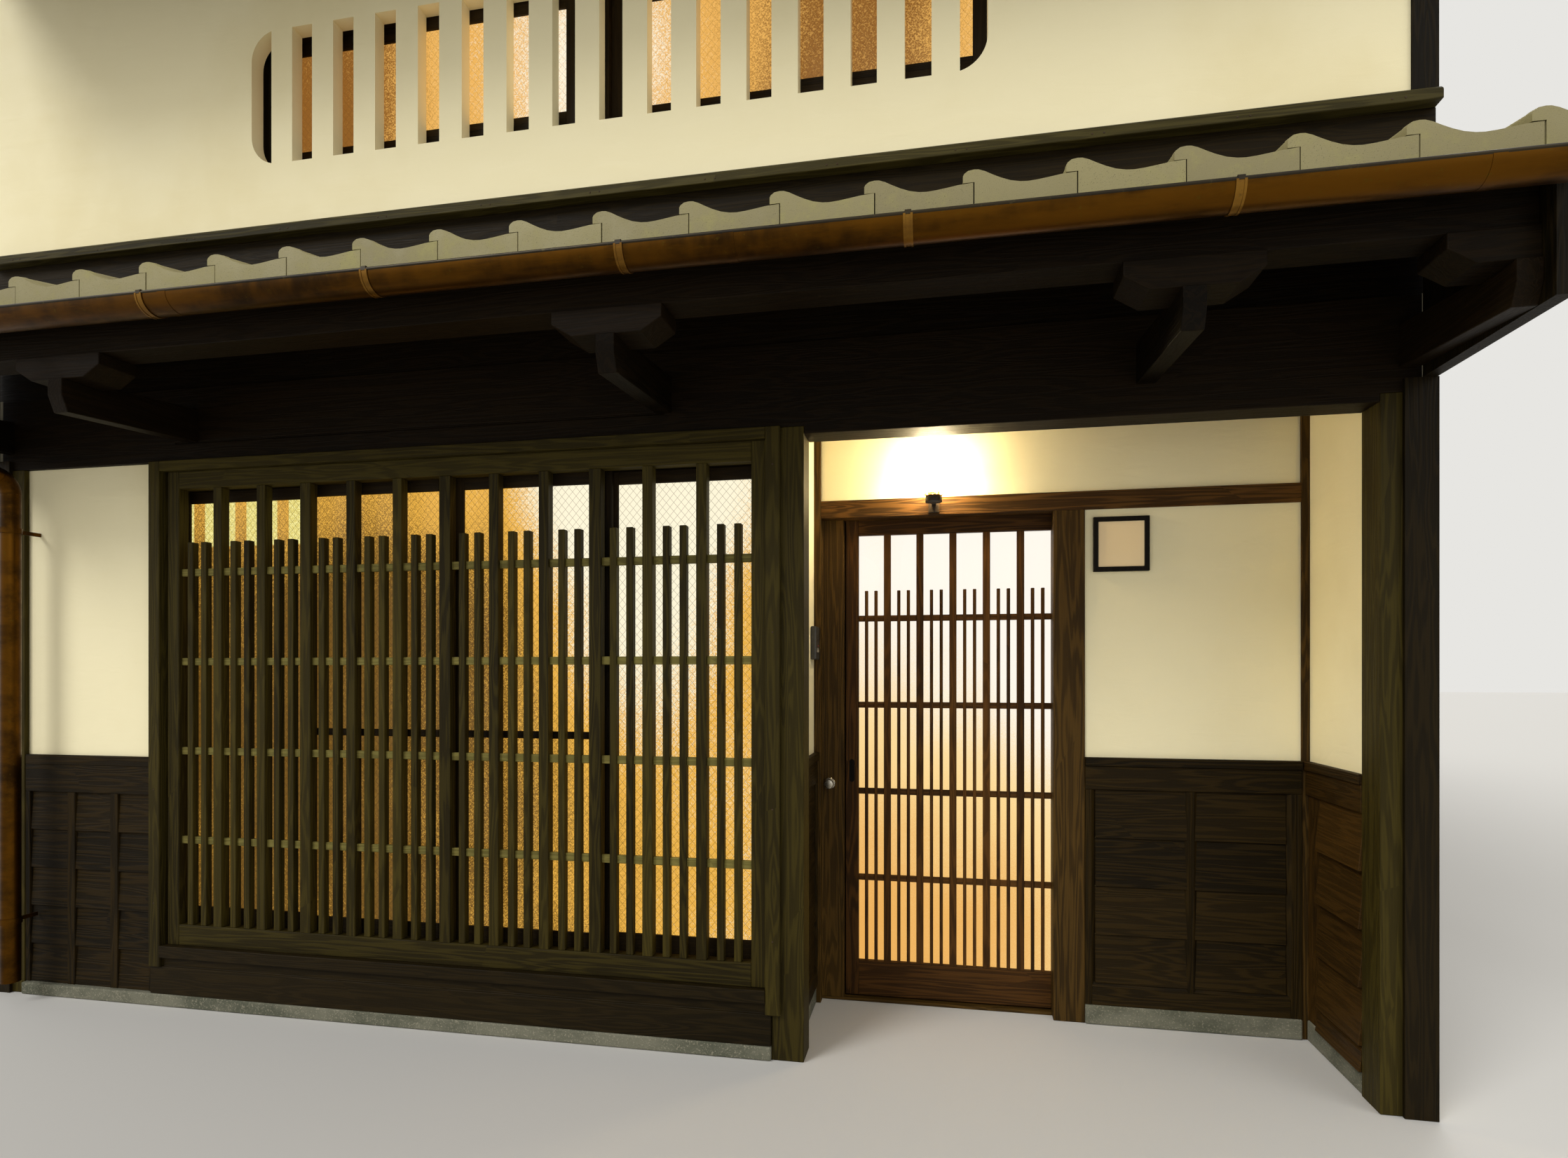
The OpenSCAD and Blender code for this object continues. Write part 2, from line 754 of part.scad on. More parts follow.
module lattice_boards() color("#2c2418") both_fronts() {
    box([board_l, board_l + side_board_w], [-side_board_out, plaster_back + post_cover],
        [plinth_z, beam_z]);
    box([lattice_r, board_r], [-side_board_out, 0], [plinth_z, beam_z]);
    box([board_l + side_board_w, lattice_r], [-side_board_out, 0], [frame_z, beam_z]);
    box([lattice_l, lattice_r], [0, frame_t], [frame_z, beam_z]);
}

module window_frames() color("#241d14") both_fronts() {
    box([bay_l, corner_l], [window_y, post], [ledge_z, window_z]);
    box([bay_l, corner_l], [window_y, post], [window_top, beam_z]);
}

// Start and end of sash i, counted from the left; the middle two run in the outer track
function sash_x0(i) = bay_l + i * sash_q + (i == 2 ? sash_joint / 2 : i == 0 ? 0 : -sash_lap / 2);
function sash_x1(i) = bay_l + (i + 1) * sash_q
    + (i == 1 ? -sash_joint / 2 : i == 3 ? 0 : sash_lap / 2);
function sash_y(i) = track_y + (i == 1 || i == 2 ? 0 : track_pitch);

module sash_openings(i, y0, y1) {
    x = [sash_x0(i) + sash_stile, sash_x1(i) - sash_stile];
    low = window_z + sash_low;
    top = window_top - sash_top;
    if (i == 1 || i == 2) {
        box(x, [y0, y1], [low, sash_mid_z]);
        box(x, [y0, y1], [sash_mid_z + sash_mid, top]);
    } else {
        box(x, [y0, y1], [low, top]);
    }
}

module window_sashes() color("#1f1912") both_fronts() for (i = [0 : 3]) difference() {
    y = sash_y(i);
    box([sash_x0(i), sash_x1(i)], [y, y + sash_t], [window_z, window_top]);
    sash_openings(i, y - 1, y + sash_t + 1);
}

module window_glass() color("#e8c27a") both_fronts() for (i = [0 : 3]) {
    y = sash_y(i) + (sash_t - glass_t) / 2;
    sash_openings(i, y, y + glass_t);
}

module wall_panels() color("#e9e2c4") {
    both_fronts() {
        box([-post_in, bay_l - post], [plaster_back, plaster_back + plaster_t], [curb_h, beam_z]);
        box([bay_l - post, board_l], [plaster_back, plaster_back + post_cover], [curb_h, beam_z]);
    }
    at_rear() box([corner_r, post_in], [plaster_back, plaster_back + plaster_t],
        [curb_h, beam_z - head_board_h]);
}

// Saw-tooth section of overlapping boards between two heights, face towards -Y
module clapboards(w, z0, z1) {
    n = ceil((z1 - z0) / clap_pitch);
    teeth = [for (i = [0 : n - 1]) each [[-clap_t, max(z0, z1 - (n - i) * clap_pitch)],
        [-clap_t / 2, z1 - (n - 1 - i) * clap_pitch]]];
    along_x(0, w) polygon(concat([[0, z0]], teeth, [[0, z1]]));
}

// Wainscot of length w between two heights: rails, stiles, clapboards and battens
module wainscot(w, z0, z1, rail, foot, battens, cap) {
    clapboards(w, z0, z1 - cap);
    box([0, w], [-batten_t, 0], [z1 - cap - rail, z1 - cap]);
    if (cap > 0) box([0, w], [-batten_t - cap_out, 0], [z1 - cap, z1]);
    if (foot > 0) box([0, w], [-batten_t, 0], [z0, z0 + foot]);
    for (x = battens) box([x, x + batten_w], [-batten_t + batten_in, 0], [z0, z1 - cap]);
    box([0, stile_w], [-batten_t, 0], [z0, z1 - cap]);
    box([w - stile_w, w], [-batten_t, 0], [z0, z1 - cap]);
}

module wainscots() color("#251e15") {
    left_w = board_l + post_in;
    both_fronts() translate([-post_in, plaster_back, 0])
        wainscot(left_w, curb_h, wainscot_z, wainscot_rail, 0, [left_w / 3, left_w * 2 / 3], 0);
    at_rear() translate([corner_r, plaster_back, 0])
        wainscot(entrance_w, curb_h, wainscot_z, wainscot_rail, 0,
            [for (k = [1 : 3]) k * entrance_w / 4], 0);
}

module recess_side_walls() color("#f0e8cc") at_front() {
    box([wall_l - recess_wall_t, wall_l], [post, recess_d], [recess_curb_h, upper_floor_z - upper_floor_t]);
    box([wall_r, room_x], [post, recess_d], [recess_curb_h, upper_floor_z - upper_floor_t]);
}

module recess_back_wall() color("#efe4bf") at_front()
    box([door_post_r, back_r], [back_face, wall_back], [recess_curb_h, lintel_z]);

module transom_wall() color("#f6eed6") at_front()
    box([jamb_r, back_r], [transom_face, transom_face + transom_t],
        [lintel_z + lintel_h, upper_floor_z - upper_floor_t]);

module recess_wainscots() color("#2a2116") at_front() {
    w = back_r - door_post_r;
    translate([door_post_r, back_face, 0])
        wainscot(w, recess_curb_h, cap_z, cap_rail, foot_rail, [(w - batten_w) / 2], cap_h);
    side = recess_d - post;
    translate([wall_r, recess_d, 0]) rotate([0, 0, -90])
        wainscot(side, recess_curb_h, cap_z, cap_rail, foot_rail, [], cap_h);
    translate([wall_l, post, 0]) rotate([0, 0, 90])
        wainscot(side, recess_curb_h, cap_z, cap_rail, foot_rail, [], cap_h);
}

module recess_ceiling() color("#2a2116") at_front() {
    box([wall_l, wall_r], [post, recess_d], [ceiling_z, ceiling_z + ceiling_t]);
    box([jamb_r, back_r], [recess_d - 1, transom_face], [ceiling_z, ceiling_z + ceiling_t]);
}

// Lintel with the groove that guides the head of the leaf
module door_lintel() color("#33281a") at_front() {
    g0 = leaf_y - leaf_gap;
    g1 = leaf_y + leaf_t + leaf_gap;
    top = lintel_z + lintel_h;
    along_x(jamb_r, back_r) polygon([[recess_d, lintel_z], [g0, lintel_z],
        [g0, lintel_z + lintel_groove], [g1, lintel_z + lintel_groove], [g1, lintel_z],
        [lintel_back, lintel_z], [lintel_back, top], [recess_d, top]]);
}

module door_posts() color("#362a1b") at_front() {
    top = upper_floor_z - upper_floor_t;
    box([wall_l - recess_wall_t, jamb_r], [recess_d, post_back], [0, top]);
    box([door_post_l, door_post_r], [recess_d, wall_back], [0, lintel_z]);
    box([back_r, room_x], [recess_d, post_back], [0, top]);
    box([jamb_r, panel_r], [sill_y, leaf_y + leaf_t], [door_sill_z, lintel_z]);
}

module door_sill() color("#30261a") at_front() {
    box([jamb_r, door_post_l], [sill_y, lintel_back], [0, door_sill_z]);
    box([door_post_l, back_r], [wall_back, lintel_back], [0, door_sill_z]);
}

module door_knob() color("#b9b2a0") at_front()
    translate([(jamb_r + panel_r) / 2 - knob_left, sill_y, knob_z]) rotate([90, 0, 0]) {
        cylinder(h = rose_t, d = rose_d);
        cylinder(h = neck_l + grip_l / 2, d = neck_d);
        translate([0, 0, neck_l]) cylinder(h = grip_l, d = knob_d);
    }

module leaf_bars() {
    for (i = [1 : leaf_gaps - 1]) {
        x = i * leaf_pitch - leaf_parent;
        box([x, x + leaf_parent], [0, leaf_bar_d], [leaf_low_z, leaf_top_z]);
    }
    for (i = [0 : leaf_gaps - 1], k = [0, 1]) {
        x = i * leaf_pitch + leaf_space + k * (leaf_space + leaf_child);
        box([x, x + leaf_child], [leaf_child_in, leaf_bar_d - leaf_child_in],
            [leaf_low_z, leaf_child_top]);
    }
    for (k = [0 : 3]) {
        z = leaf_rail_z - k * leaf_rail_pitch;
        box([0, leaf_open_w], [leaf_rail_in, leaf_rail_in + leaf_rail_t],
            [z - leaf_rail / 2, z + leaf_rail / 2]);
    }
}

module entrance_door() color("#34291b") at_front() translate([leaf_l, leaf_y, 0]) {
    difference() {
        box([0, leaf_w], [0, leaf_t], [leaf_z, leaf_head]);
        box([leaf_stile, leaf_w - leaf_stile], [-1, leaf_t + 1], [leaf_low_z, leaf_top_z]);
        box([(leaf_stile - pull_w) / 2, (leaf_stile + pull_w) / 2], [-1, pull_d],
            [pull_z, pull_z + pull_l]);
    }
    translate([leaf_stile, 0, 0]) leaf_bars();
    for (x = [roller_in, leaf_w - roller_in])
        translate([x, (leaf_t + roller_t) / 2, leaf_z - roller_drop + roller_r])
            rotate([90, 0, 0]) cylinder(h = roller_t, r = roller_r);
}

module door_glass() color("#fff4d8") at_front()
    box([leaf_l + leaf_stile, leaf_r - leaf_stile], [leaf_glass_y, leaf_glass_y + leaf_glass_t],
        [leaf_low_z, leaf_top_z]);

lamp_cx = jamb_r + lamp_x;
lamp_cy = recess_d - lamp_r - lamp_gap;
lamp_z = lintel_z + lamp_up;
holder_z = lamp_z - holder_h;

module lamp_bracket() color("#241c12") at_front() {
    box([lamp_cx - plate_w / 2, lamp_cx + plate_w / 2], [recess_d - plate_t, recess_d],
        [lintel_z + plate_in, lintel_z + lintel_h - plate_in]);
    box([lamp_cx - lamp_arm_w / 2, lamp_cx + lamp_arm_w / 2], [lamp_cy, recess_d - plate_t],
        [holder_z, holder_z + lamp_arm_h]);
    translate([lamp_cx, lamp_cy, holder_z]) cylinder(h = holder_h, r = holder_r);
}

// Open glass bowl that widens upward from its holder
module lamp_shade() color("#fff6e0") at_front() translate([lamp_cx, lamp_cy, lamp_z]) rotate_extrude()
    polygon([[0, 0], [lamp_foot_r, 0], [lamp_r, lamp_h], [lamp_r - lamp_t, lamp_h],
        [lamp_foot_r - lamp_t, lamp_t], [0, lamp_t]]);

module framed_sign() color("#16120c") at_front() {
    x = door_post_r + sign_x;
    difference() {
        box([x, x + sign_w], [back_face - sign_t, back_face], [sign_z, sign_z + sign_h]);
        box([x + sign_frame, x + sign_w - sign_frame],
            [back_face - sign_t - 1, back_face - sign_t + sign_sink],
            [sign_z + sign_frame, sign_z + sign_h - sign_frame]);
    }
}

module intercom() color("#2a2a28") at_front()
    box([wall_l, wall_l + intercom_t], [recess_d - intercom_in - intercom_w, recess_d - intercom_in],
        [intercom_z - intercom_h / 2, intercom_z + intercom_h / 2]);

module upper_boards() color("#221b12") both_fronts() {
    box([-half_w, half_w], [upper_back, post], [beam_top, upper_z - trim_h]);
    along_x(-half_w, half_w) polygon([[post, upper_z - trim_h], [-trim_out, upper_z - trim_h],
        [-trim_out, upper_z - trim_bevel], [-trim_out + trim_bevel, upper_z], [post, upper_z]]);
}

module slot_outline() {
    square([slot_w - 2 * slot_r, slot_h], center = true);
    square([slot_w, slot_h - 2 * slot_r], center = true);
    for (sx = [-1, 1], sz = [-1, 1])
        translate([sx * (slot_w / 2 - slot_r), sz * (slot_h / 2 - slot_r)]) circle(slot_r);
}

// Plastered wall with the rounded slot window and the square pocket of its sashes behind it
module upper_wall() difference() {
    along_x(-half_w, half_w - upper_end_w) polygon([[0, upper_z], [post, upper_z],
        [post, wall_top + main_rise(post)], [0, wall_top]]);
    pocket_y = upper_sash_back - pocket_clear;
    along_y(-1, pocket_y + 1) translate([slot_x, slot_z + slot_h / 2]) slot_outline();
    box([pocket_x, pocket_x + pocket_w], [pocket_y, post + 1], [pocket_z, pocket_z + pocket_h]);
}

module upper_front_wall() color("#efe7c6") at_front() upper_wall();

module upper_rear_wall() color("#efe7c6") at_rear() upper_wall();

module upper_end_boards() color("#2c2418") both_fronts()
    along_x(half_w - upper_end_w, half_w) polygon([[-upper_end_out, upper_z], [post, upper_z],
        [post, wall_top + main_rise(post)], [-upper_end_out, wall_top + main_rise(-upper_end_out)]]);

module slot_bars() color("#f4efdc") both_fronts()
    along_y(0, bar_d) translate([slot_x, slot_z + slot_h / 2]) intersection() {
        slot_outline();
        for (i = [0 : bar_n - 1])
            translate([(i - (bar_n - 1) / 2) * bar_pitch, 0]) square([bar_w, slot_h], center = true);
    }

// Frame of the slot window in its pocket: a post parts it into two pairs of sashes
pocket_x = slot_x - slot_w / 2 - pocket_lap;
pocket_z = slot_z - pocket_lap;
pocket_w = slot_w + 2 * pocket_lap;
pocket_h = slot_h + 2 * pocket_lap;
pair_w = (pocket_w - 2 * upper_frame_w - upper_post_w) / 2;
pair_h = pocket_h - 2 * upper_frame_w;

module each_pair() for (i = [0, 1])
    translate([pocket_x + upper_frame_w + i * (pair_w + upper_post_w), upper_sash_back,
        pocket_z + upper_frame_w]) children();

module upper_frames() color("#241d14") both_fronts() difference() {
    box([pocket_x, pocket_x + pocket_w], [upper_sash_back, post], [pocket_z, pocket_z + pocket_h]);
    each_pair() translate([0, -1, 0]) cube([pair_w, post - upper_sash_back + 2, pair_h]);
}

// In each pair the right sash runs in front of the left one and laps it by a stile
upper_sash_len = (pair_w + upper_stile_w) / 2;
upper_glass_w = upper_sash_len - 2 * upper_stile_w;
upper_glass_h = pair_h - upper_head_rail - upper_foot_rail;

module each_upper_sash() each_pair() for (i = [0, 1])
    translate([i * (pair_w - upper_sash_len), (1 - i) * (upper_sash_t + upper_sash_gap), 0])
        children();

module upper_sashes() color("#1f1912") both_fronts() each_upper_sash() difference() {
    cube([upper_sash_len, upper_sash_t, pair_h]);
    translate([upper_stile_w, -1, upper_foot_rail])
        cube([upper_glass_w, upper_sash_t + 2, upper_glass_h]);
}

module upper_glass() color("#e0a860") both_fronts() each_upper_sash()
    translate([upper_stile_w, (upper_sash_t - glass_t) / 2, upper_foot_rail])
        cube([upper_glass_w, glass_t, upper_glass_h]);

// Party wall: a gabled slab that also closes the outer side of the end posts
module party_wall() {
    inner = half_d - post;
    eave = main_rafter_top + main_rise(post);
    along_x(room_x, half_w) polygon([[-inner, 0], [inner, 0], [inner, eave],
        [0, eave + main_rise(inner)], [-inner, eave]]);
    box([post_out, half_w], [-half_d, half_d], [0, beam_top]);
}

module right_party_wall() color("#c9bf9c") party_wall();

module left_party_wall() color("#c9bf9c") mirror([1, 0, 0]) party_wall();

module ground_floor() color("#7a7566") {
    inner = half_d - post;
    cut_x = wall_l - recess_wall_t;
    cut_y = -half_d + lintel_back;
    linear_extrude(floor_t) polygon([[-room_x, -inner], [cut_x, -inner], [cut_x, cut_y],
        [room_x, cut_y], [room_x, inner], [-room_x, inner]]);
}

module upper_floor() color("#6d5738") {
    inner = half_d - post;
    box([-room_x, room_x], [-inner, inner], [upper_floor_z - upper_floor_t, upper_floor_z]);
}

// Bracket arms grow out of the beam and end in a level seat for the bolster
module eaves_arms() color("#2e2619") both_fronts() for (x = arm_xs) along_x(x - arm_w / 2, x + arm_w / 2)
    polygon([[0, arm_root_z], [-arm_out + arm_nose, arm_end_z], [-arm_out, arm_end_z + arm_nose_h],
        [-arm_out, seat_z], [-arm_out + seat_l, seat_z],
        [-arm_out + seat_l, seat_z + seat_step], [0, arm_root_z + arm_root_h]]);

module bolster_outline() {
    a = bolster_l / 2;
    polygon([[-a, bolster_h], [-a, bolster_h / 2], [-a + bolster_cut, 0], [a - bolster_cut, 0],
        [a, bolster_h / 2], [a, bolster_h]]);
}

module eaves_bolsters() color("#2e2619") both_fronts()
    along_y(bolster_y, bolster_y + bolster_d) intersection() {
        for (x = arm_xs) translate([x, seat_z]) bolster_outline();
        translate([-eaves_end, 0]) square([2 * eaves_end, pent_z]);
    }

module purlins() color("#2b2318") {
    both_fronts() {
        rise0 = pent_rafter_z + pent_rise(purlin_y);
        along_x(-eaves_end, eaves_end) polygon([[purlin_y, bolster_z], [purlin_y + purlin_d, bolster_z],
            [purlin_y + purlin_d, rise0 + purlin_d * pent_slope], [purlin_y, rise0]]);
        middle = half_d / 2;
        top = wall_top + main_rise(middle);
        along_x(-room_x, room_x) polygon([[middle, top - purlin_w], [middle + purlin_w, top - purlin_w],
            [middle + purlin_w, top + main_rise(purlin_w)], [middle, top]]);
    }
    ridge_z = wall_top + main_rise(half_d);
    a = purlin_w / 2;
    along_x(-room_x, room_x) polygon([[-a, ridge_z - ridge_purlin_h], [a, ridge_z - ridge_purlin_h],
        [a, ridge_z - main_rise(a)], [0, ridge_z], [-a, ridge_z - main_rise(a)]]);
}

// Evenly spaced rafters behind a fascia board, with blocks between them over the wall
module rafter_set(width, y0, y1, slope, z, h, w, block_y) {
    n = ceil((width - w) / rafter_pitch);
    pitch = (width - w) / n;
    for (i = [0 : n]) {
        x = -width / 2 + w / 2 + i * pitch;
        slope_layer(x - w / 2, x + w / 2, y0, y1, slope, z, z + h);
        if (i < n && len(block_y) > 0)
            slope_layer(x + w / 2, x + pitch - w / 2, block_y[0], block_y[1], slope,
                z + (block_y[0] - y0) * slope, z + h + (block_y[0] - y0) * slope);
    }
    slope_layer(-width / 2, width / 2, y0 - fascia_t, y0, slope,
        z - fascia_t * slope, z + h - fascia_t * slope);
}

module rafters() color("#2a2217") both_fronts() {
    y0 = -pent_out + rafter_end;
    rafter_set(2 * eaves_end, y0, upper_back, pent_slope, pent_rafter_z + pent_rise(y0),
        pent_rafter_h, pent_rafter_w, []);
    y1 = -main_out;
    rafter_set(2 * room_x, y1, half_d - ridge_gap, main_slope, wall_top + main_rise(y1),
        main_rafter_h, main_rafter_w, [block_back, block_back + block_t]);
}

module roof_boards() color("#3a2f20") both_fronts() {
    y0 = -pent_out + tile_lip;
    slope_layer(-roof_x, roof_x, y0, upper_back, pent_slope,
        pent_rafter_top + pent_rise(y0), pent_board_z + pent_rise(y0));
    y1 = -main_out - fascia_t;
    slope_layer(-roof_x, roof_x, y1, half_d - ridge_gap, main_slope,
        main_rafter_top + main_rise(y1), main_board_z + main_rise(y1));
}

// Waves of the tiles across the roof: a rolled edge stands over each joint, then a hollow
module tile_waves(depth, steep) {
    n = ceil(roof_x / tile_w) + 1;
    wave = [for (k = [-n : n], p = TILE_WAVE) let (x = tile_x + k * tile_w + p[0] * tile_w)
        if (abs(x) < roof_x - 1) [x, p[1] * tile_roll * steep]];
    polygon(concat([[-roof_x, -depth], [-roof_x, wave[0][1]]], wave,
        [[roof_x, wave[len(wave) - 1][1]], [roof_x, -depth]]));
}

// Tiling with a lip that hangs over the edge of the boards
module tiling(y0, y1, slope, board_z, lip, face, drop) {
    edge_z = board_z - drop;
    top = edge_z + face;
    angle = atan(slope);
    run = (y1 - y0) / cos(angle);
    intersection() {
        translate([0, y0, top]) rotate([angle, 0, 0]) along_y(-face, run + face)
            tile_waves(2 * face, cos(angle));
        along_x(-roof_x, roof_x) polygon([[y0, edge_z], [y0, top + tile_roll + 1],
            [y1, top + tile_roll + 1 + (y1 - y0) * slope], [y1, board_z + (y1 - y0) * slope],
            [y0 + lip, board_z + lip * slope], [y0 + lip, edge_z]]);
    }
}

module pent_roof() color("#8b8c7c") both_fronts()
    tiling(-pent_out, upper_back, pent_slope, pent_board_z, tile_lip, tile_face, lip_drop);

module main_roof() color("#85867a") both_fronts() {
    y0 = -main_out - fascia_t - tile_lip;
    tiling(y0, half_d - ridge_w / 2, main_slope, main_board_z + main_rise(y0), tile_lip,
        main_tile_t + lip_drop, lip_drop);
}

// Ridge on the roof boards: flat courses that step in over the tiles, a row of half-round caps,
// and a plain tile at each end
module roof_ridge() color("#7e7f73") {
    peak = main_board_z + main_rise(half_d);
    a = ridge_w / 2;
    foot = peak - main_rise(a);
    step = foot + main_tile_t + tile_roll + ridge_base;
    cap_z = peak + main_tile_t + ridge_h - cap_r;
    along_x(-roof_x + ridge_end_t, roof_x - ridge_end_t) {
        polygon([[-a, foot], [0, peak], [a, foot], [a, step], [a - ridge_step, step],
            [cap_r + ridge_step, cap_z], [-cap_r - ridge_step, cap_z], [-a + ridge_step, step],
            [-a, step]]);
        translate([0, cap_z]) intersection() {
            circle(cap_r);
            translate([-a, 0]) square([2 * a, a]);
        }
    }
    for (x = [-roof_x, roof_x - ridge_end_t]) along_x(x, x + ridge_end_t)
        polygon([[-a, foot], [0, peak], [a, foot], [a, step], [a + ridge_step, step],
            [a + ridge_step, cap_z], [cap_r, cap_z + cap_r], [0, cap_z + cap_r + ridge_step],
            [-cap_r, cap_z + cap_r], [-a - ridge_step, cap_z], [-a - ridge_step, step], [-a, step]]);
}

// Half-round gutter with closed ends and straps that hold it to the fascia
module gutter(y, z, fascia_y, straps) {
    along_x(-roof_x, roof_x) translate([y, z]) difference() {
        circle(gutter_r);
        circle(gutter_r - gutter_t);
        translate([-gutter_r - 1, 0]) square([2 * gutter_r + 2, gutter_r + 1]);
    }
    for (x = [-roof_x, roof_x - gutter_t]) along_x(x, x + gutter_t) translate([y, z]) difference() {
        circle(gutter_r);
        translate([-gutter_r - 1, 0]) square([2 * gutter_r + 2, gutter_r + 1]);
    }
    for (x = straps) along_x(x - strap_w / 2, x + strap_w / 2) {
        translate([y, z]) difference() {
            circle(gutter_r + gutter_t);
            circle(gutter_r - gutter_t / 2);
            translate([-2 * gutter_r, 0]) square([4 * gutter_r, 2 * gutter_r]);
        }
        translate([y + gutter_r - gutter_t / 2, z - 1]) square([1.5 * gutter_t, strap_rise + 1]);
        translate([y + gutter_r - gutter_t / 2, z + strap_rise - gutter_t])
            square([fascia_y - y - gutter_r + gutter_t / 2, gutter_t]);
    }
}

strap_half = floor((roof_x - strap_w - abs(strap_shift)) / strap_pitch + 0.5);
strap_xs = [for (k = [-strap_half : strap_half - 1]) (k + 0.5) * strap_pitch + strap_shift];
main_gutter_y = -main_out - fascia_t - tile_lip - gutter_gap - gutter_r;
main_gutter_z = main_board_z + main_rise(-main_out - fascia_t - tile_lip) - lip_drop - gutter_drop;

module gutters() color("#8a5a22") both_fronts() {
    gutter(pent_gutter_y, pent_gutter_z, -pent_out + tile_lip, strap_xs);
    gutter(main_gutter_y, main_gutter_z, -main_out - fascia_t, strap_xs);
}

// Elbow of a pipe whose curve starts at the origin's level, bend_r beside the axis of the curve
module elbow(bend_r, angle) rotate([90, 0, 90]) rotate_extrude(angle = angle)
    translate([bend_r, 0]) circle(pipe_r + elbow_more);

// Copper pipe from the gutter back to the wall and down beside the left end post
module downpipes() color("#7a5124") both_fronts() {
    x = -post_in + pipe_r + pipe_side;
    top = pent_gutter_z - gutter_r - pipe_neck;
    in_step = pipe_bend * (1 - cos(pipe_tilt));
    run = (-pent_gutter_y - pipe_out - 2 * in_step) / sin(pipe_tilt);
    bend_z = top - 2 * pipe_bend * sin(pipe_tilt) - run * cos(pipe_tilt);
    difference() {
        translate([x, pent_gutter_y, top - elbow_lap])
            cylinder(h = elbow_lap + pipe_neck + gutter_r / 2, r = pipe_r);
        along_x(x - gutter_r, x + gutter_r) translate([pent_gutter_y, pent_gutter_z])
            circle(gutter_r + solder_gap);
    }
    translate([x, pent_gutter_y + pipe_bend, top]) rotate([180, 0, 0]) elbow(pipe_bend, pipe_tilt);
    translate([x, -pipe_out - in_step, bend_z + pipe_bend * sin(pipe_tilt)])
        rotate([pipe_tilt, 0, 0]) translate([0, 0, -elbow_lap])
            cylinder(h = run + 2 * elbow_lap, r = pipe_r);
    translate([x, -pipe_out - pipe_bend, bend_z]) elbow(pipe_bend, pipe_tilt);
    translate([x, -pipe_out, pipe_foot]) cylinder(h = bend_z - pipe_foot + elbow_lap, r = pipe_r);
    for (z = [pipe_foot + clip_low, beam_z - clip_high]) translate([x, -pipe_out, z]) {
        cylinder(h = clip_h, r = pipe_r + clip_t);
        translate([-clip_arm / 2, 0, clip_h / 6])
            cube([clip_arm, pipe_out + plaster_back - (z < wainscot_z ? clap_t : 0), clip_h * 2 / 3]);
    }
}

front_posts();
front_beam();
end_boards();
curbs();
lattice_plinth();
lattice_frame();
lattice_bars();
lattice_boards();
window_frames();
window_sashes();
window_glass();
wall_panels();
wainscots();
recess_side_walls();
recess_back_wall();
transom_wall();
recess_wainscots();
recess_ceiling();
door_lintel();
door_posts();
door_sill();
door_knob();
entrance_door();
door_glass();
lamp_bracket();
lamp_shade();
framed_sign();
intercom();
upper_boards();
upper_front_wall();
upper_rear_wall();
upper_end_boards();
slot_bars();
upper_frames();
upper_sashes();
upper_glass();
left_party_wall();
right_party_wall();
ground_floor();
upper_floor();
eaves_arms();
eaves_bolsters();
purlins();
rafters();
roof_boards();
pent_roof();
main_roof();
roof_ridge();
gutters();
downpipes();
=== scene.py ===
import itertools
import math
import random

import bpy
import numpy as np
from mathutils import Matrix, Vector


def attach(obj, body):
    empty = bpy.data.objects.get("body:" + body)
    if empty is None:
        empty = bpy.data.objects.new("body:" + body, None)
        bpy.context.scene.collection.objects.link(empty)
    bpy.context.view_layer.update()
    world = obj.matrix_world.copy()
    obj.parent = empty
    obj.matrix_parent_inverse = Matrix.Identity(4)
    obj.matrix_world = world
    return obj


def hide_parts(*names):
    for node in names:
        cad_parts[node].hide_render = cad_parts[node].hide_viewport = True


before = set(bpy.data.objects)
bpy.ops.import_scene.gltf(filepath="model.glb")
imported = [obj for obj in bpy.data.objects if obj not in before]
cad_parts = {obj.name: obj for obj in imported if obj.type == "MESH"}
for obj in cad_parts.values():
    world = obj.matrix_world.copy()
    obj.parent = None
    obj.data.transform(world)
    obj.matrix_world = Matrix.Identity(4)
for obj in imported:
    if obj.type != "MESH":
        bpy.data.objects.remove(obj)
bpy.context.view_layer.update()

# Camera, light and floor. The camera stands before the front, a little right of the middle of the
# house, at eye height, level, turned a little to the left, with a wide lens. A pale studio
# surrounds it: soft light from all round and a broad lamp high on the left.
scene = bpy.context.scene
scene.view_settings.view_transform = "Standard"
eye = bpy.data.objects.new("eye", bpy.data.cameras.new("eye"))
scene.collection.objects.link(eye)
eye.location = (1.304, -6.8937, 1.4161)
eye.rotation_euler = (math.radians(90), 0, math.radians(10.8346))
eye.data.sensor_width = 36
eye.data.lens = 18.945
eye.data.shift_y = 0.0596
scene.camera = eye


def node(tree, kind, sockets=None, **settings):
    """Adds a node, with its settings and what its sockets hold or are joined to."""
    made = tree.nodes.new("ShaderNode" + kind)
    for key, value in settings.items():
        setattr(made, key, value)
    for key, value in (sockets or {}).items():
        if isinstance(value, bpy.types.NodeSocket):
            tree.links.new(value, made.inputs[key])
        else:
            made.inputs[key].default_value = value
    return made


def maths(tree, kind, *values):
    """Values worked together, from the first to the last."""
    if len(values) > 2:
        values = maths(tree, kind, *values[:-1]), values[-1]
    return node(tree, "Math", dict(enumerate(values)), operation=kind).outputs[0]


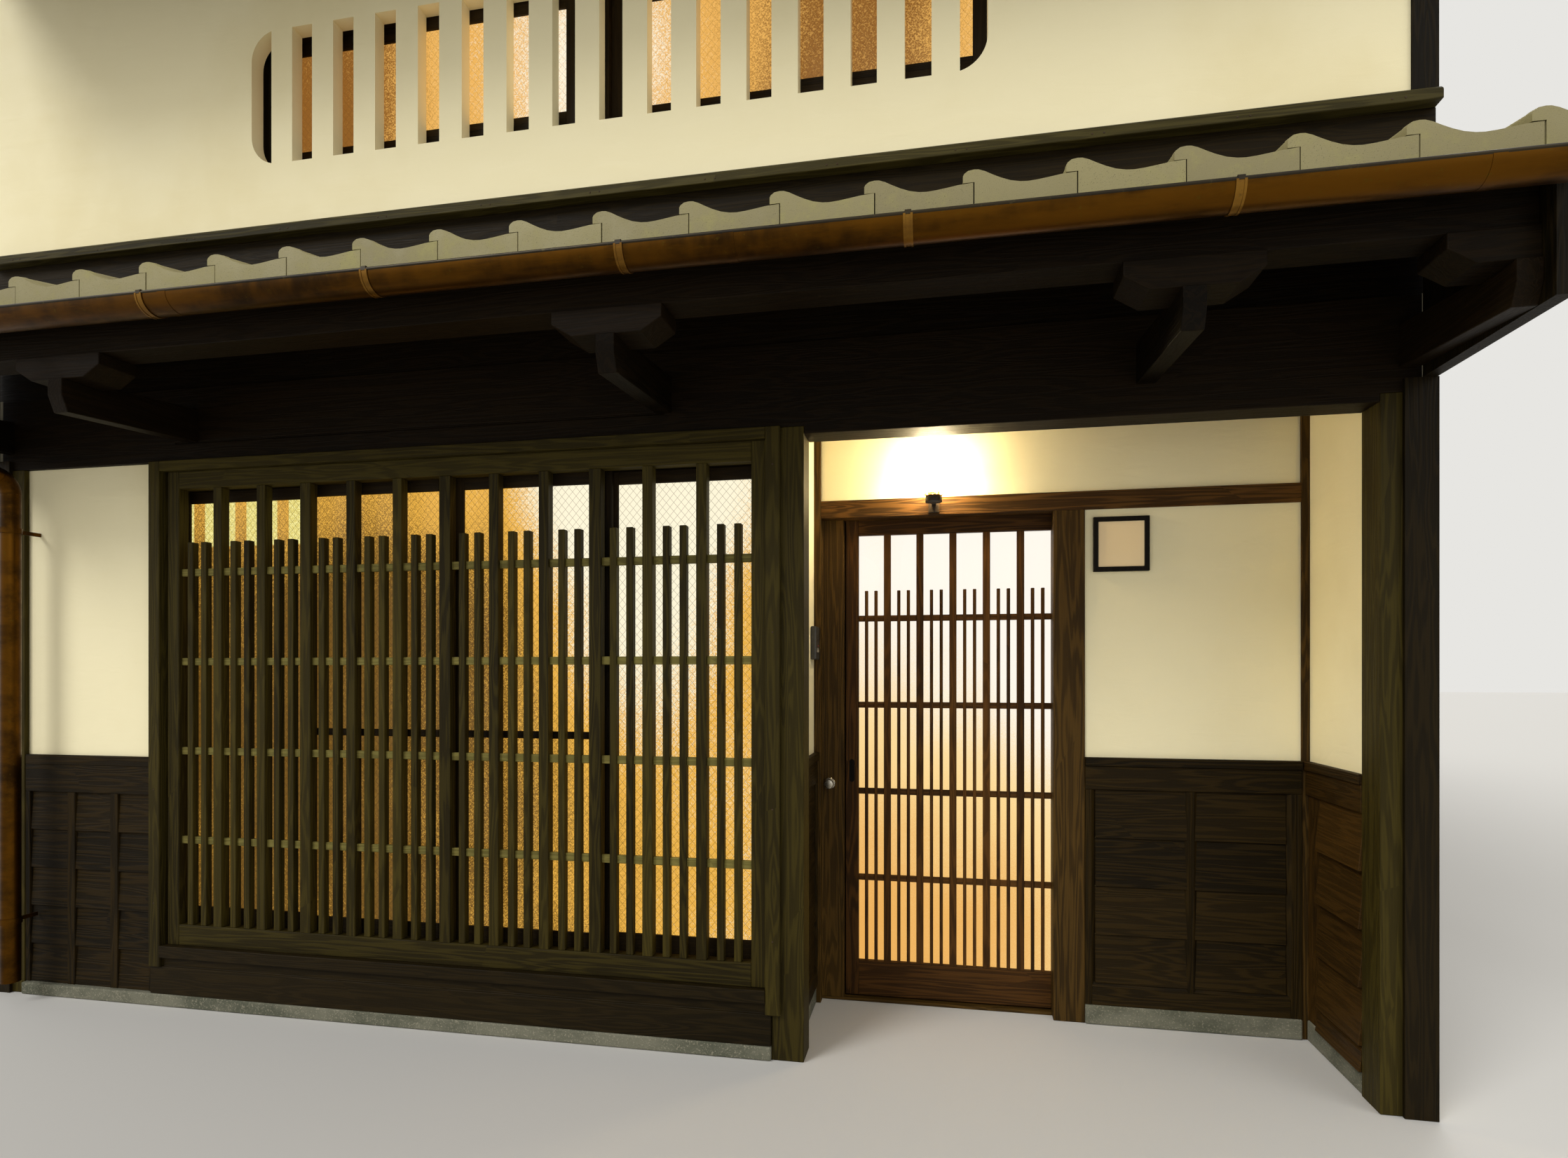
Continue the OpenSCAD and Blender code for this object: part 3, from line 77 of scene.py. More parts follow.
studio = bpy.data.worlds.new("studio")
studio.use_nodes = True
scene.world = studio
sky = studio.node_tree
sky.nodes.clear()
room_light = node(sky, "Background", {"Color": (1.0, 0.985, 0.96, 1), "Strength": 0.62})
backdrop = node(sky, "Background", {"Color": (0.80, 0.79, 0.76, 1), "Strength": 1.0})
ray = node(sky, "LightPath").outputs  # camera, mirror and glass rays see the backdrop
sees = maths(sky, "MAXIMUM", ray["Is Camera Ray"], ray["Is Glossy Ray"], ray["Is Transmission Ray"])
split = node(sky, "MixShader", {0: sees, 1: room_light.outputs[0], 2: backdrop.outputs[0]})
node(sky, "OutputWorld", {"Surface": split.outputs[0]})

for name, strength, turn, spread in (("key", 1.55, (52, 0, -38), 24), ("fill", 0.45, (60, 0, 48), 40),
                                     ("back", 0.9, (-55, 0, -25), 30)):
    lamp = bpy.data.objects.new(name, bpy.data.lights.new(name, "SUN"))
    scene.collection.objects.link(lamp)
    lamp.data.energy = strength
    lamp.data.angle = math.radians(spread)
    lamp.rotation_euler = [math.radians(a) for a in turn]

floor_mesh = bpy.data.meshes.new("studio_floor")
corners = [(x, y, -0.001) for x, y in ((-60, -60), (60, -60), (60, 60), (-60, 60))]
floor_mesh.from_pydata(corners, [], [(0, 1, 2, 3)])
studio_floor = bpy.data.objects.new("studio_floor", floor_mesh)
scene.collection.objects.link(studio_floor)
pale = bpy.data.materials.new("pale_floor")
pale.use_nodes = True
shade = pale.node_tree.nodes["Principled BSDF"].inputs
shade["Base Color"].default_value = (0.60, 0.585, 0.55, 1)
shade["Roughness"].default_value = 0.9
floor_mesh.materials.append(pale)

# Posts, beam and end boards of the street front. Squared softwood timbers stained dark brown: the
# posts stand on stones, the deep beam lies over them with a groove for the shutters, and boards
# nailed over the party walls close the front at both ends.


def effect(name, colours, values="", vectors="Vector", glow=""):
    """Empty node group for a finish, with its input and output sockets."""
    tree = bpy.data.node_groups.new(name, "ShaderNodeTree")
    for way, kind, labels in (("INPUT", "Vector", vectors), ("INPUT", "Color", colours),
                              ("INPUT", "Float", values), ("OUTPUT", "Color", "Color " + glow),
                              ("OUTPUT", "Float", "Roughness Height")):
        for label in labels.split():
            tree.interface.new_socket(name=label, in_out=way, socket_type="NodeSocket" + kind)
    tree.nodes.new("NodeGroupOutput")
    return tree, tree.nodes.new("NodeGroupInput").outputs


def give(tree, **results):
    """Joins a finish's results to the sockets of its group."""
    for label, result in results.items():
        tree.links.new(result, tree.nodes["Group Output"].inputs[label])


def stretched(tree, by, **sockets):
    """Noise over the group's vector, scaled by three factors."""
    vector = tree.nodes["Group Input"].outputs["Vector"]
    long = node(tree, "VectorMath", {0: vector, 1: by}, operation="MULTIPLY")
    return node(tree, "TexNoise", {"Vector": long.outputs[0], "Scale": 1.0, **sockets}).outputs["Fac"]


def blend(tree, factor, one, two):
    return node(tree, "Mix", {0: factor, 6: one, 7: two}, data_type="RGBA").outputs[2]


def plus(tree, *values):
    return maths(tree, "ADD", *values)


def times(tree, *values):
    return maths(tree, "MULTIPLY", *values)


def ramp(tree, value, low, high, to_low=0.0, to_high=1.0):
    return node(tree, "MapRange", {"Value": value, "From Min": low, "From Max": high, "To Min": to_low,
                                   "To Max": to_high}, interpolation_type="SMOOTHSTEP").outputs[0]


# Wood with its grain along Z: growth rings, fine fibres, slow change of tone, and some knots
grain, given = effect("wood_grain", "Deep Pale", "Rings Knots")
knot_place = node(grain, "VectorMath", {0: given["Vector"], 1: (5.2, 5.2, 2.1)}, operation="MULTIPLY")
knot_cell = node(grain, "TexVoronoi", {"Vector": knot_place.outputs[0], "Scale": 1.0})
no_knot = ramp(grain, node(grain, "SeparateColor", {0: knot_cell.outputs["Color"]}).outputs[0],
               0.55, 0.56, 1.0, 0.0)
knot_far = plus(grain, knot_cell.outputs["Distance"], no_knot)
knot = times(grain, ramp(grain, knot_far, 0.20, 0.03), given["Knots"])
bent = times(grain, ramp(grain, knot_far, 0.75, 0.05), 0.22)
contour = stretched(grain, (17, 17, 0.85), Detail=3.0, Roughness=0.45, Distortion=0.25)
rings = maths(grain, "SINE", times(grain, plus(grain, contour, bent), 62.0))
rings = times(grain, ramp(grain, rings, -0.6, 1.0), given["Rings"])
fibre = stretched(grain, (430, 430, 9), Detail=3.0, Roughness=0.6)
tone = stretched(grain, (1.3, 1.3, 0.35), Detail=1.0)
light = plus(grain, times(grain, rings, 0.42), times(grain, fibre, 0.42),
             ramp(grain, tone, 0.3, 0.7, -0.12, 0.30))
stained = blend(grain, light, given["Deep"], given["Pale"])
give(grain, Color=blend(grain, times(grain, knot, 0.85), stained, (0.006, 0.004, 0.002, 1)),
     Roughness=plus(grain, times(grain, fibre, 0.35), 0.36),
     Height=maths(grain, "SUBTRACT", plus(grain, times(grain, rings, 0.5), fibre), knot))


def stain(r, g, b):
    """Linear colour of an sRGB value in 0 to 255."""
    return tuple(((c / 255 + 0.055) / 1.055) ** 2.4 if c > 10 else c / 3294.6 for c in (r, g, b)) + (1,)


def finish(name, group, over="Z", depth=0.001, **values):
    """Material: a group's colour, roughness and relief over the object, or over its own members.
    Values are the group's or else the shader's, colours sRGB in 0 to 255."""
    made = bpy.data.materials.new(name)
    made.use_nodes = True
    tree = made.node_tree
    shader = tree.nodes["Principled BSDF"]
    if over == "members":
        vector = node(tree, "Attribute", attribute_name="grain").outputs["Vector"]
    else:
        turn = {"X": (0, -math.pi / 2, 0), "Y": (math.pi / 2, 0, 0), "Z": (0, 0, 0)}[over]
        place = node(tree, "TexCoord").outputs["Object"]
        vector = node(tree, "Mapping", {"Vector": place, "Rotation": turn}).outputs[0]
    used = node(tree, "Group", node_tree=group)
    tree.links.new(vector, used.inputs["Vector"])
    for key, value in values.items():
        socket = used.inputs[key] if key in used.inputs else shader.inputs[key.replace("_", " ")]
        socket.default_value = stain(*value) if socket.type == "RGBA" else value
    relief = node(tree, "Bump", {"Height": used.outputs["Height"], "Strength": 1.0, "Distance": depth})
    tree.links.new(relief.outputs[0], shader.inputs["Normal"])
    for label, key in (("Color", "Base Color"), ("Roughness", "Roughness"), ("Glow", "Emission Color")):
        if label in used.outputs:
            tree.links.new(used.outputs[label], shader.inputs[key])
    return made


def timber(name, deep, pale, over="members", rings=0.7, knots=0.0, depth=0.001):
    """Stained wood with deep and pale grain that runs along an axis, or along its own members."""
    return finish(name, grain, over, depth, Deep=deep, Pale=pale, Rings=rings, Knots=knots,
                  Specular_IOR_Level=0.08)


# DARK is the stain of the timber. The two darker copies after it are painted shade: the first, darkest,
# for timbers under the eaves, the second for timbers in shade lower down.
DARK = (27, 21, 6), (72, 62, 22)
EAVES_SHADE = (8, 5, 1), (31, 21, 7)
SHADED = (11, 8, 2), (41, 31, 11)
shaded_upright_timber = timber("shaded_upright_timber", *SHADED, "Z")
shaded_level_timber = timber("shaded_level_timber", *SHADED, "X")
eaves_shade_level_timber = timber("eaves_shade_level_timber", *EAVES_SHADE, "X")


def dress(name, material, arris=0.0):
    """Gives a CAD node its material and, where it has sharp corners to lose, small arrises."""
    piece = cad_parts[name]
    for place in piece.material_slots:
        place.material = material
    for kind, settings in (
            ("WELD", {"merge_threshold": 0.00002}),
            ("DECIMATE", {"decimate_type": "DISSOLVE", "angle_limit": math.radians(1)}),
            ("BEVEL", {"width": arris, "segments": 2, "limit_method": "ANGLE",
                       "angle_limit": math.radians(35)})) if arris else ():
        made = piece.modifiers.new(kind.lower(), kind)
        for key, value in settings.items():
            setattr(made, key, value)


dress("front_posts", timber("post_timber", *DARK, "Z", knots=0.7), 0.003)
# The beam and the end boards are darker with painted shade.
dress("front_beam", eaves_shade_level_timber, 0.003)
dress("end_boards", shaded_upright_timber)

# Curbs under the front and round the recess. Long low stones or cast mortar, mottled grey and
# green, set on the ground with their top edges worn round.
grit, given = effect("stone_grit", "Base Stain Fleck", "Grit")
cloud = stretched(grit, (3.1, 3.1, 5.0), Detail=6.0, Roughness=0.65)
speck = node(grit, "VectorMath", {0: given["Vector"], "Scale": given["Grit"]}, operation="SCALE")
specks = node(grit, "TexNoise", {"Vector": speck.outputs[0], "Scale": 1.0, "Detail": 4.0,
                                 "Roughness": 0.7}).outputs["Fac"]
coloured = blend(grit, ramp(grit, cloud, 0.35, 0.68), given["Base"], given["Stain"])
give(grit, Roughness=ramp(grit, cloud, 0.2, 0.8, 0.75, 0.95),
     Color=blend(grit, ramp(grit, specks, 0.54, 0.66, 0.0, 0.8), coloured, given["Fleck"]),
     Height=plus(grit, specks, cloud))
curb_stone = finish("curb_stone", grit, depth=0.002, Base=(112, 110, 92), Stain=(74, 76, 60),
                    Fleck=(150, 143, 122), Grit=140.0)
dress("curbs", curb_stone, 0.006)

# Lattice bay: a ledge and step board, a frame with parent and child bars, and boards nailed beside
# and over it. Planed softwood; the rails pass through the bars, and the child bars stop lower.
dress("lattice_plinth", shaded_level_timber, 0.003)

FRONT = -3.94  # the face of the posts


def on_house(x, y, z, side=-1):
    """Place in metres of one in millimetres with y from the face of the posts; the rear mirrors it."""
    return x / 1000, -side * (FRONT + y / 1000), z / 1000


def counted_on(faces, start, flip):
    """Faces numbered on from a starting point, and turned over where they are mirrored."""
    return [[start + i for i in face[::-1 if flip else 1]] for face in faces]


def chamfered(lo, hi, arris):
    """24 corners and 26 faces of a box with its arrises taken off."""
    half = [(b - a) / 2 for a, b in zip(lo, hi)]
    cut = min(arris, 0.3 * min(half))
    points = [Vector([s[k] * (half[k] - (0 if k == flat else cut)) for k in range(3)])
              for s in itertools.product((-1, 1), repeat=3) for flat in range(3)]
    faces = [[3 * i, 3 * i + 1, 3 * i + 2] for i in range(8)]
    for a in range(3):
        b, c = (a + 1) % 3, (a + 2) % 3
        by_a, by_b, by_c = 4 >> a, 4 >> b, 4 >> c
        faces += [[3 * i + a for i in (j, j + by_b, j + by_b + by_c, j + by_c)] for j in (0, by_a)]
        faces += [[3 * i + b, 3 * (i + by_a) + b, 3 * (i + by_a) + c, 3 * i + c]
                  for i in (0, by_c, by_b, by_b + by_c)]
    for face in faces:
        middle = sum((points[i] for i in face), Vector()) / len(face)
        normal = (points[face[1]] - points[face[0]]).cross(points[face[2]] - points[face[0]])
        if normal.dot(middle) < 0:
            face.reverse()
    return points, faces, Vector([(a + b) / 2 for a, b in zip(lo, hi)])


def new_piece(name, points, faces, material, stands_for=None, body="house", grain_at=None,
              smooth=None):
    """Mesh object that rides on a body and the CAD node it stands for."""
    mesh = bpy.data.meshes.new(name)
    mesh.from_pydata(points, [], faces)
    mesh.materials.append(material)
    if grain_at:
        layer = mesh.attributes.new("grain", "FLOAT_VECTOR", "POINT")
        layer.data.foreach_set("vector", [c for p in grain_at for c in p])
    if smooth:
        mesh.shade_smooth()
        mesh.set_sharp_from_angle(angle=math.radians(smooth))
    piece = bpy.data.objects.new(name, mesh)
    scene.collection.objects.link(piece)
    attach(piece, body)
    if stands_for:
        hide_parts(stands_for)


BOTH = -1, 1  # the street front and its like at the rear


def joinery(name, members, material, stands_for, sides=(-1,), arris=2.0, body="house",
            place=None):
    """One mesh of many members. Each is (x, y, z, grain axis[, lean[, bevels]]) in millimetres, with
    y from the face of the posts; lean moves the upper edge of its face back, bevels bring the left
    and right edges of its face in. The rear repeats the front."""
    rng = random.Random(name)
    points, faces, grain_at = [], [], []
    for side in sides:
        for member in members:
            x, y, z, along, lean, bevels = (*member, *(0, (0, 0))[len(member) - 4:])
            corners, sheets, middle = chamfered(*zip(x, y, z), arris)
            shift = Vector([rng.uniform(-30, 30) for k in range(3)])
            order = {"X": (1, 2, 0), "Y": (0, 2, 1), "Z": (0, 1, 2)}[along]
            faces += counted_on(sheets, len(points), side > 0)
            for corner in corners:
                grain_at.append(Vector([corner[k] / 1000 for k in order]) + shift)
                p = corner + middle
                if lean and corner.y < 0:
                    p.y += lean * (p.z - z[0]) / (z[1] - z[0])
                if corner.y < 0:
                    p.x += bevels[0] if corner.x < 0 else -bevels[1]
                if place:
                    p = place @ p
                points.append(on_house(*p, side))
    new_piece(name, points, faces, material, stands_for, body, grain_at)


def framed(left, right, y, low, high, stile, foot, head):
    """Members of a frame: two stiles of full height, with a lower and an upper rail between them."""
    between = left + stile, right - stile
    return [((left, between[0]), y, (low, high), "Z"), ((between[1], right), y, (low, high), "Z"),
            (between, y, (low, low + foot), "X"), (between, y, (high - head, high), "X")]


member_timber = timber("member_timber", *DARK)
lattice_l, lattice_r, board_l, board_r = -1930, 672, -2005, 727
ledge, frame_top, beam_low = 260, 2268, 2311
stile, low_rail, top_rail = 56, 87, 74
joinery("lattice_frame_members",
        framed(lattice_l, lattice_r, (0, 50), ledge, frame_top, stile, low_rail, top_rail),
        member_timber, "lattice_frame", BOTH, 2.5)


def lattice(left, width, gaps, parent, child, parent_y, child_y, low, high, child_high, joint=None):
    """Upright bars before an opening: parent bars, each third one as wide as joint, and between
    them two child bars that stop lower."""
    pitch = (width + parent) / gaps
    clear = (pitch - parent - 2 * child) / 3
    bars = []
    for i in range(1, gaps):
        w, x = parent if i % 3 else joint or parent, left + i * pitch - parent / 2
        bars.append(((x - w / 2, x + w / 2), parent_y, (low, high), "Z"))
    for i in range(gaps):
        for k in range(2):
            x = left + i * pitch + clear + k * (clear + child)
            bars.append(((x, x + child), child_y, (low, child_high), "Z"))
    return bars


bars_l, bars_w = lattice_l + stile, lattice_r - lattice_l - 2 * stile
bars = lattice(bars_l, bars_w, 12, 40, 27, (0, 42), (4, 34), ledge + low_rail, frame_top - top_rail,
               1967, 48)
joinery("lattice_bar_members", bars, member_timber, "lattice_bars", BOTH, 1.8)
# The rails are a paler copy of the timber, with painted light where the bars don't shade them.
painted_lit_rail_timber = timber("painted_lit_rail_timber", (66, 58, 24), (134, 124, 66), rings=0.6)
top_z, rail_pitch = 1840, 378.5
rails = [((bars_l, bars_l + bars_w), (14, 30), (z - 15.5, z + 15.5), "X") for z in
         (top_z - k * rail_pitch for k in range(4))]
joinery("lattice_rail_members", rails, painted_lit_rail_timber, "lattice_bars", BOTH, 1.8)
board_foot, board_front = 169, -22
joinery("lattice_board_members", [
    ((board_l, board_l + 55), (board_front, 45), (board_foot, beam_low), "Z"),
    ((lattice_r, board_r), (board_front, 0), (board_foot, beam_low), "Z"),
    ((board_l + 55, lattice_r), (board_front, 0), (frame_top, beam_low), "X"),
    ((lattice_l, lattice_r), (0, 50), (frame_top, beam_low), "X"),
], member_timber, "lattice_boards", BOTH, 2.5)


def ring_faces(count, steps, start=0, flip=False):
    """Faces of the closed solid through a number of rings of points, with both its ends."""
    faces = [list(range(steps))[::-1], [(count - 1) * steps + k for k in range(steps)]]
    faces += [[j + k, j + (k + 1) % steps, j + steps + (k + 1) % steps, j + steps + k]
              for j in range(0, (count - 1) * steps, steps) for k in range(steps)]
    return counted_on(faces, start, flip)


def nail_heads(name, places):
    """Low round heads of nails at (x, y, z) in millimetres, facing the street or the yard."""
    points, faces, turns = [], [], [math.pi * k / 4 for k in range(8)]
    radius, stand = 3.5, 1.6
    for side in BOTH:
        for x, y, z in places:
            faces += ring_faces(3, len(turns), len(points), side > 0)
            for r, out_by in ((radius, 0), (radius * 0.8, stand * 0.8), (radius * 0.3, stand)):
                points += [on_house(x + r * math.cos(a), y - out_by, z + r * math.sin(a), side)
                           for a in turns]
    new_piece(name, points, faces, rusty_nail)


rust, given = effect("rusty_iron", "Base Rust")
crust = stretched(rust, (700, 700, 700), Detail=3.0)
give(rust, Color=blend(rust, ramp(rust, crust, 0.4, 0.6), given["Base"], given["Rust"]),
     Roughness=plus(rust, crust, 0.3), Height=crust)
rusty_nail = finish("rusty_nail", rust, depth=0.0002, Base=(40, 34, 26), Rust=(84, 62, 38),
                    Metallic=0.4)
nail_heads("lattice_board_nails", [(x, board_front, z) for x in (board_l + 28, lattice_r + 28)
                                   for z in (438, 919, 1562, 2172)])

# Sashes behind the lattice: four sliding leaves in two tracks between the posts, near-black thin
# frames of planed wood, glazed with obscure wired glass that the lit room behind colours amber.
dress("window_frames", shaded_level_timber, 0.002)
sash_timber = timber("sash_timber", (20, 15, 7), (52, 39, 18), rings=0.5)
bay_l, bay_r, sill_top, head_low, sash_stile = -1970, 692, 330, 2200, 55
quarter = (bay_r - bay_l) / 4
sashes = []
for i, (lap_l, lap_r) in enumerate(((0, 20), (-20, -0.5), (0.5, 20), (-20, 0))):
    x0, x1 = bay_l + i * quarter + lap_l, bay_l + (i + 1) * quarter + lap_r
    y = (62, 86) if i in (1, 2) else (92, 116)
    sashes += framed(x0, x1, y, sill_top, head_low, sash_stile, 70, 50)
    if i in (1, 2):
        sashes.append(((x0 + sash_stile, x1 - sash_stile), y, (1155, 1184), "X"))
joinery("sash_members", sashes, sash_timber, "window_sashes", BOTH)

# Obscure glass: pebbled face, thin diagonal wires, and the glow of the room behind it
glass, given = effect(
    "lit_glass", "Dim Warm Bright", "From To Low High Top Reach Posts Wire Pebble Inward",
    "Vector Lamp Spread", "Glow")
axes = node(glass, "SeparateXYZ", {0: given["Vector"]}).outputs
along = ramp(glass, axes["X"], given["From"], given["To"], 0.0, 0.55)
upward = times(glass, ramp(glass, axes["Z"], given["Low"], given["High"]), given["Top"])
soft = stretched(glass, (2.4, 2.4, 1.5), Detail=2.0, Roughness=0.5)
# The glow is brighter in a painted pool of light round the point Lamp.
away = node(glass, "VectorMath", {0: given["Vector"], 1: given["Lamp"]}, operation="SUBTRACT")
away = node(glass, "VectorMath", {0: away.outputs[0], 1: given["Spread"]}, operation="MULTIPLY")
away = node(glass, "VectorMath", {0: away.outputs[0]}, operation="LENGTH").outputs["Value"]
near_lamp = node(glass, "MapRange", {"Value": away, "From Min": given["Reach"], "From Max": 0.0})
pebble = node(glass, "VectorMath", {0: given["Vector"], "Scale": given["Pebble"]}, operation="SCALE")
pebbles = node(glass, "TexVoronoi", {"Vector": pebble.outputs[0], "Scale": 1.0}, feature="SMOOTH_F1")
# Painted glints: the glow rises and falls over each pebble.
sparkle = ramp(glass, pebbles.outputs["Distance"], 0.15, 0.75, -0.11, 0.17)
wires, mesh_w, mesh_h = [], 0.030, 0.034
for slope in (-1, 1):
    run = plus(glass, maths(glass, "DIVIDE", axes["X"], mesh_w),
               maths(glass, "DIVIDE", axes["Z"], mesh_h * slope))
    off = maths(glass, "ABSOLUTE", maths(glass, "SUBTRACT", maths(glass, "FRACT", run), 0.5))
    wires.append(ramp(glass, off, 0.050, 0.020))
wired = times(glass, maths(glass, "MAXIMUM", *wires), given["Wire"])
lit = plus(glass, along, upward, ramp(glass, soft, 0.3, 0.7, -0.08, 0.08), near_lamp.outputs[0],
           sparkle)
glowing = blend(glass, ramp(glass, lit, 0.0, 0.5), given["Dim"], given["Warm"])
glowing = blend(glass, ramp(glass, lit, 0.5, 1.0), glowing, given["Bright"])
# A lit wall high in the room, seen between the posts that stand before it
first_post, post_pitch, wall_low, wall_end = -5.0177, 0.2095, 1.958, -1.29
post_run = maths(glass, "DIVIDE", plus(glass, axes["X"], -first_post), post_pitch)
post_run = maths(glass, "FRACT", post_run)
between = ramp(glass, maths(glass, "ABSOLUTE", maths(glass, "SUBTRACT", post_run, 0.5)), 0.38, 0.35)
between = times(glass, between, ramp(glass, axes["Z"], wall_low, wall_low + 0.008),
                ramp(glass, axes["X"], wall_end, wall_end - 0.02), given["Posts"])
lit_wall = blend(glass, ramp(glass, sparkle, -0.1, 0.15), stain(218, 200, 106), stain(246, 236, 156))
glowing = blend(glass, between, glowing, lit_wall)
glowing = blend(glass, wired, glowing, (0.02, 0.012, 0.005, 1))
# The side that faces the street or the yard glows; the side towards the room doesn't
facing = node(glass, "SeparateXYZ", {0: node(glass, "TexCoord").outputs["Normal"]}).outputs["Y"]
outward = maths(glass, "GREATER_THAN", times(glass, facing, axes["Y"]), 0.05)
outward = maths(glass, "MAXIMUM", outward, given["Inward"])
give(glass, Glow=blend(glass, outward, (0, 0, 0, 1), glowing),
     Color=blend(glass, wired, (0.07, 0.05, 0.02, 1), (0.04, 0.03, 0.02, 1)),
     Roughness=ramp(glass, soft, 0.3, 0.7, 0.22, 0.34),
     Height=maths(glass, "SUBTRACT", 1.0, pebbles.outputs["Distance"]))
dress("window_glass", finish(
    "wired_glass", glass, depth=0.0006, Dim=(106, 74, 24), Warm=(236, 178, 72), Bright=(253, 245, 216),
    From=-1.2, To=0.9, Low=1.62, High=2.2, Top=0.36, Lamp=(0.1, 0, 2.1), Spread=(2.2, 0, 1), Reach=1.16,
    Posts=1.0, Wire=0.55, Pebble=230.0, Emission_Strength=1.0, IOR=1.5, Specular_IOR_Level=0.2))

# Plaster walls of the ground floor and of the recess: lime plaster on a clay ground, trowelled
# smooth, warm white, a little stained near the ground.
plaster, given = effect("trowelled_plaster", "Base Stain")
patch = stretched(plaster, (1.1, 1.1, 0.8), Detail=5.0, Roughness=0.55)
sweep = stretched(plaster, (5, 5, 14), Detail=3.0, Distortion=0.8)
sand = stretched(plaster, (600, 600, 600), Detail=2.0)
low = ramp(plaster, node(plaster, "SeparateXYZ", {0: given["Vector"]}).outputs["Z"], 0.6, 0.0, 0.0, 0.5)
worn = plus(plaster, times(plaster, ramp(plaster, patch, 0.42, 0.75), 0.5), low)
give(plaster, Color=blend(plaster, worn, given["Base"], given["Stain"]),
     Roughness=ramp(plaster, sweep, 0.3, 0.7, 0.72, 0.88),
     Height=plus(plaster, times(plaster, sweep, 1.5), times(plaster, sand, 0.35)))
wall_plaster = finish("wall_plaster", plaster, depth=0.0012, Base=(247, 236, 194),
                      Stain=(226, 209, 154))
for name in ("wall_panels", "recess_side_walls", "recess_back_wall", "transom_wall"):
    dress(name, wall_plaster)

# Wainscots: overlapping boards nailed level to the wall, under a rail, with stiles at the ends
# and battens over them. Sawn softwood with strong grain, stained near black.
board_timber = timber("board_timber", (13, 9, 2), (48, 35, 10), "members", 1.0, 0.8, 0.0016)
# A paler copy of it, with painted lamp light, for the right side wall of the recess.
lit_board_timber = timber("lit_board_timber", (24, 16, 4), (76, 52, 18), "members", 0.6, 0.8, 0.0016)


def wainscot(w, z0, z1, rail, foot, battens, cap, clap, stiles=(25, 25), bevel=0, stile_by=17,
             feet_by=13):
    """Members of a wainscot of length w, with the wall's face at y 0. Boards stand out at their feet;
    a bevel runs round each panel."""
    face, batten, slant = 17, 39, 22
    top, under = z1 - cap, z1 - cap - rail
    l, r = stiles[0], w - stiles[1]
    members = [((0, w), (-face, 0), (under, top), "X"),
               ((0, l), (-stile_by, 0), (z0, under), "Z", 0, (0, bevel))]
    if stiles[1]:
        members.append(((r, w), (-stile_by, 0), (z0, under), "Z", 0, (bevel, 0)))
    z = under - clap
    while z > z0 - clap + 1:
        members.append(((l, r), (-feet_by, 0), (max(z, z0), z + clap), "X", feet_by - 5))
        z -= clap
    members += [((x, x + batten + bevel), (1 - face, 0), (z0, under), "Z", 0, (bevel, bevel))
                for x in battens]
    if cap:
        members.append(((0, w), (-face - 8, 0), (top, z1), "X"))
    if foot:
        members += [((l - bevel, r + bevel), (-face, 0), (z0, z0 + foot - slant), "X"),
                    ((l - bevel, r + bevel), (-face, 0), (z0 + foot - slant, z0 + foot), "X", face - 3)]
    return members


def at_wall(x, y, turn=0):
    return Matrix.Translation((x, y, 0)) @ Matrix.Rotation(math.radians(turn), 4, "Z")


post_in, corner_r, rear_w, rail_z, cap_z = 2682, 812, 1870, 1011, 1054
left_w = board_l + post_in
for name, w, battens, sides, wall_x in (
        ("wainscot_left_members", left_w, [left_w / 3, left_w * 2 / 3], BOTH, -post_in),
        ("wainscot_rear_members", rear_w, [rear_w / 4, rear_w / 2, rear_w * 3 / 4], (1,), corner_r)):
    top_board = (0, w), (-17, 0), (rail_z, cap_z), "X"
    joinery(name, wainscot(w, 52, rail_z, 119, 0, battens, 0, 168) + [top_board],
            board_timber, "wainscots", sides, place=at_wall(wall_x, 20))

# Entrance recess: plastered side walls and back wall over low wainscots, board ceiling, a lintel
# with the track of the door, posts at the corners and beside the door. Warmer brown, with knots.
wall_l, wall_r, door_post_r, back_r, back_face = 764, 2697, 1872, 2668, 560
back_w = back_r - door_post_r
for part, w, battens, form, wood, place in (
        ("back", back_w, [back_w / 2 - 26.5], ((39, 54), 14), board_timber, (door_post_r, back_face)),
        ("right", 430, [], ((100, 0), 0, 6, 25), lit_board_timber, (wall_r, 550, -90)),
        ("left", 430, [], (), board_timber, (wall_l, 120, 90))):
    joinery("recess_%s_wainscot" % part, wainscot(w, 78, 1074, 95, 94, battens, 34, 195, *form),
            wood, "recess_wainscots", place=at_wall(*place))
RECESS = (36, 25, 9), (94, 69, 28)
for name, wood, stained, along, arris in (
        ("recess_ceiling", "ceiling_boards", RECESS, "X", 0.001),
        ("door_lintel", "lintel_timber", ((48, 32, 13), (116, 80, 36)), "X", 0.002),
        ("door_posts", "recess_upright_timber", RECESS, "Z", 0.002),
        ("door_sill", "sill_timber", RECESS, "X", 0.002)):
    dress(name, timber(wood, *stained, along, 0.9, 1.0), arris)

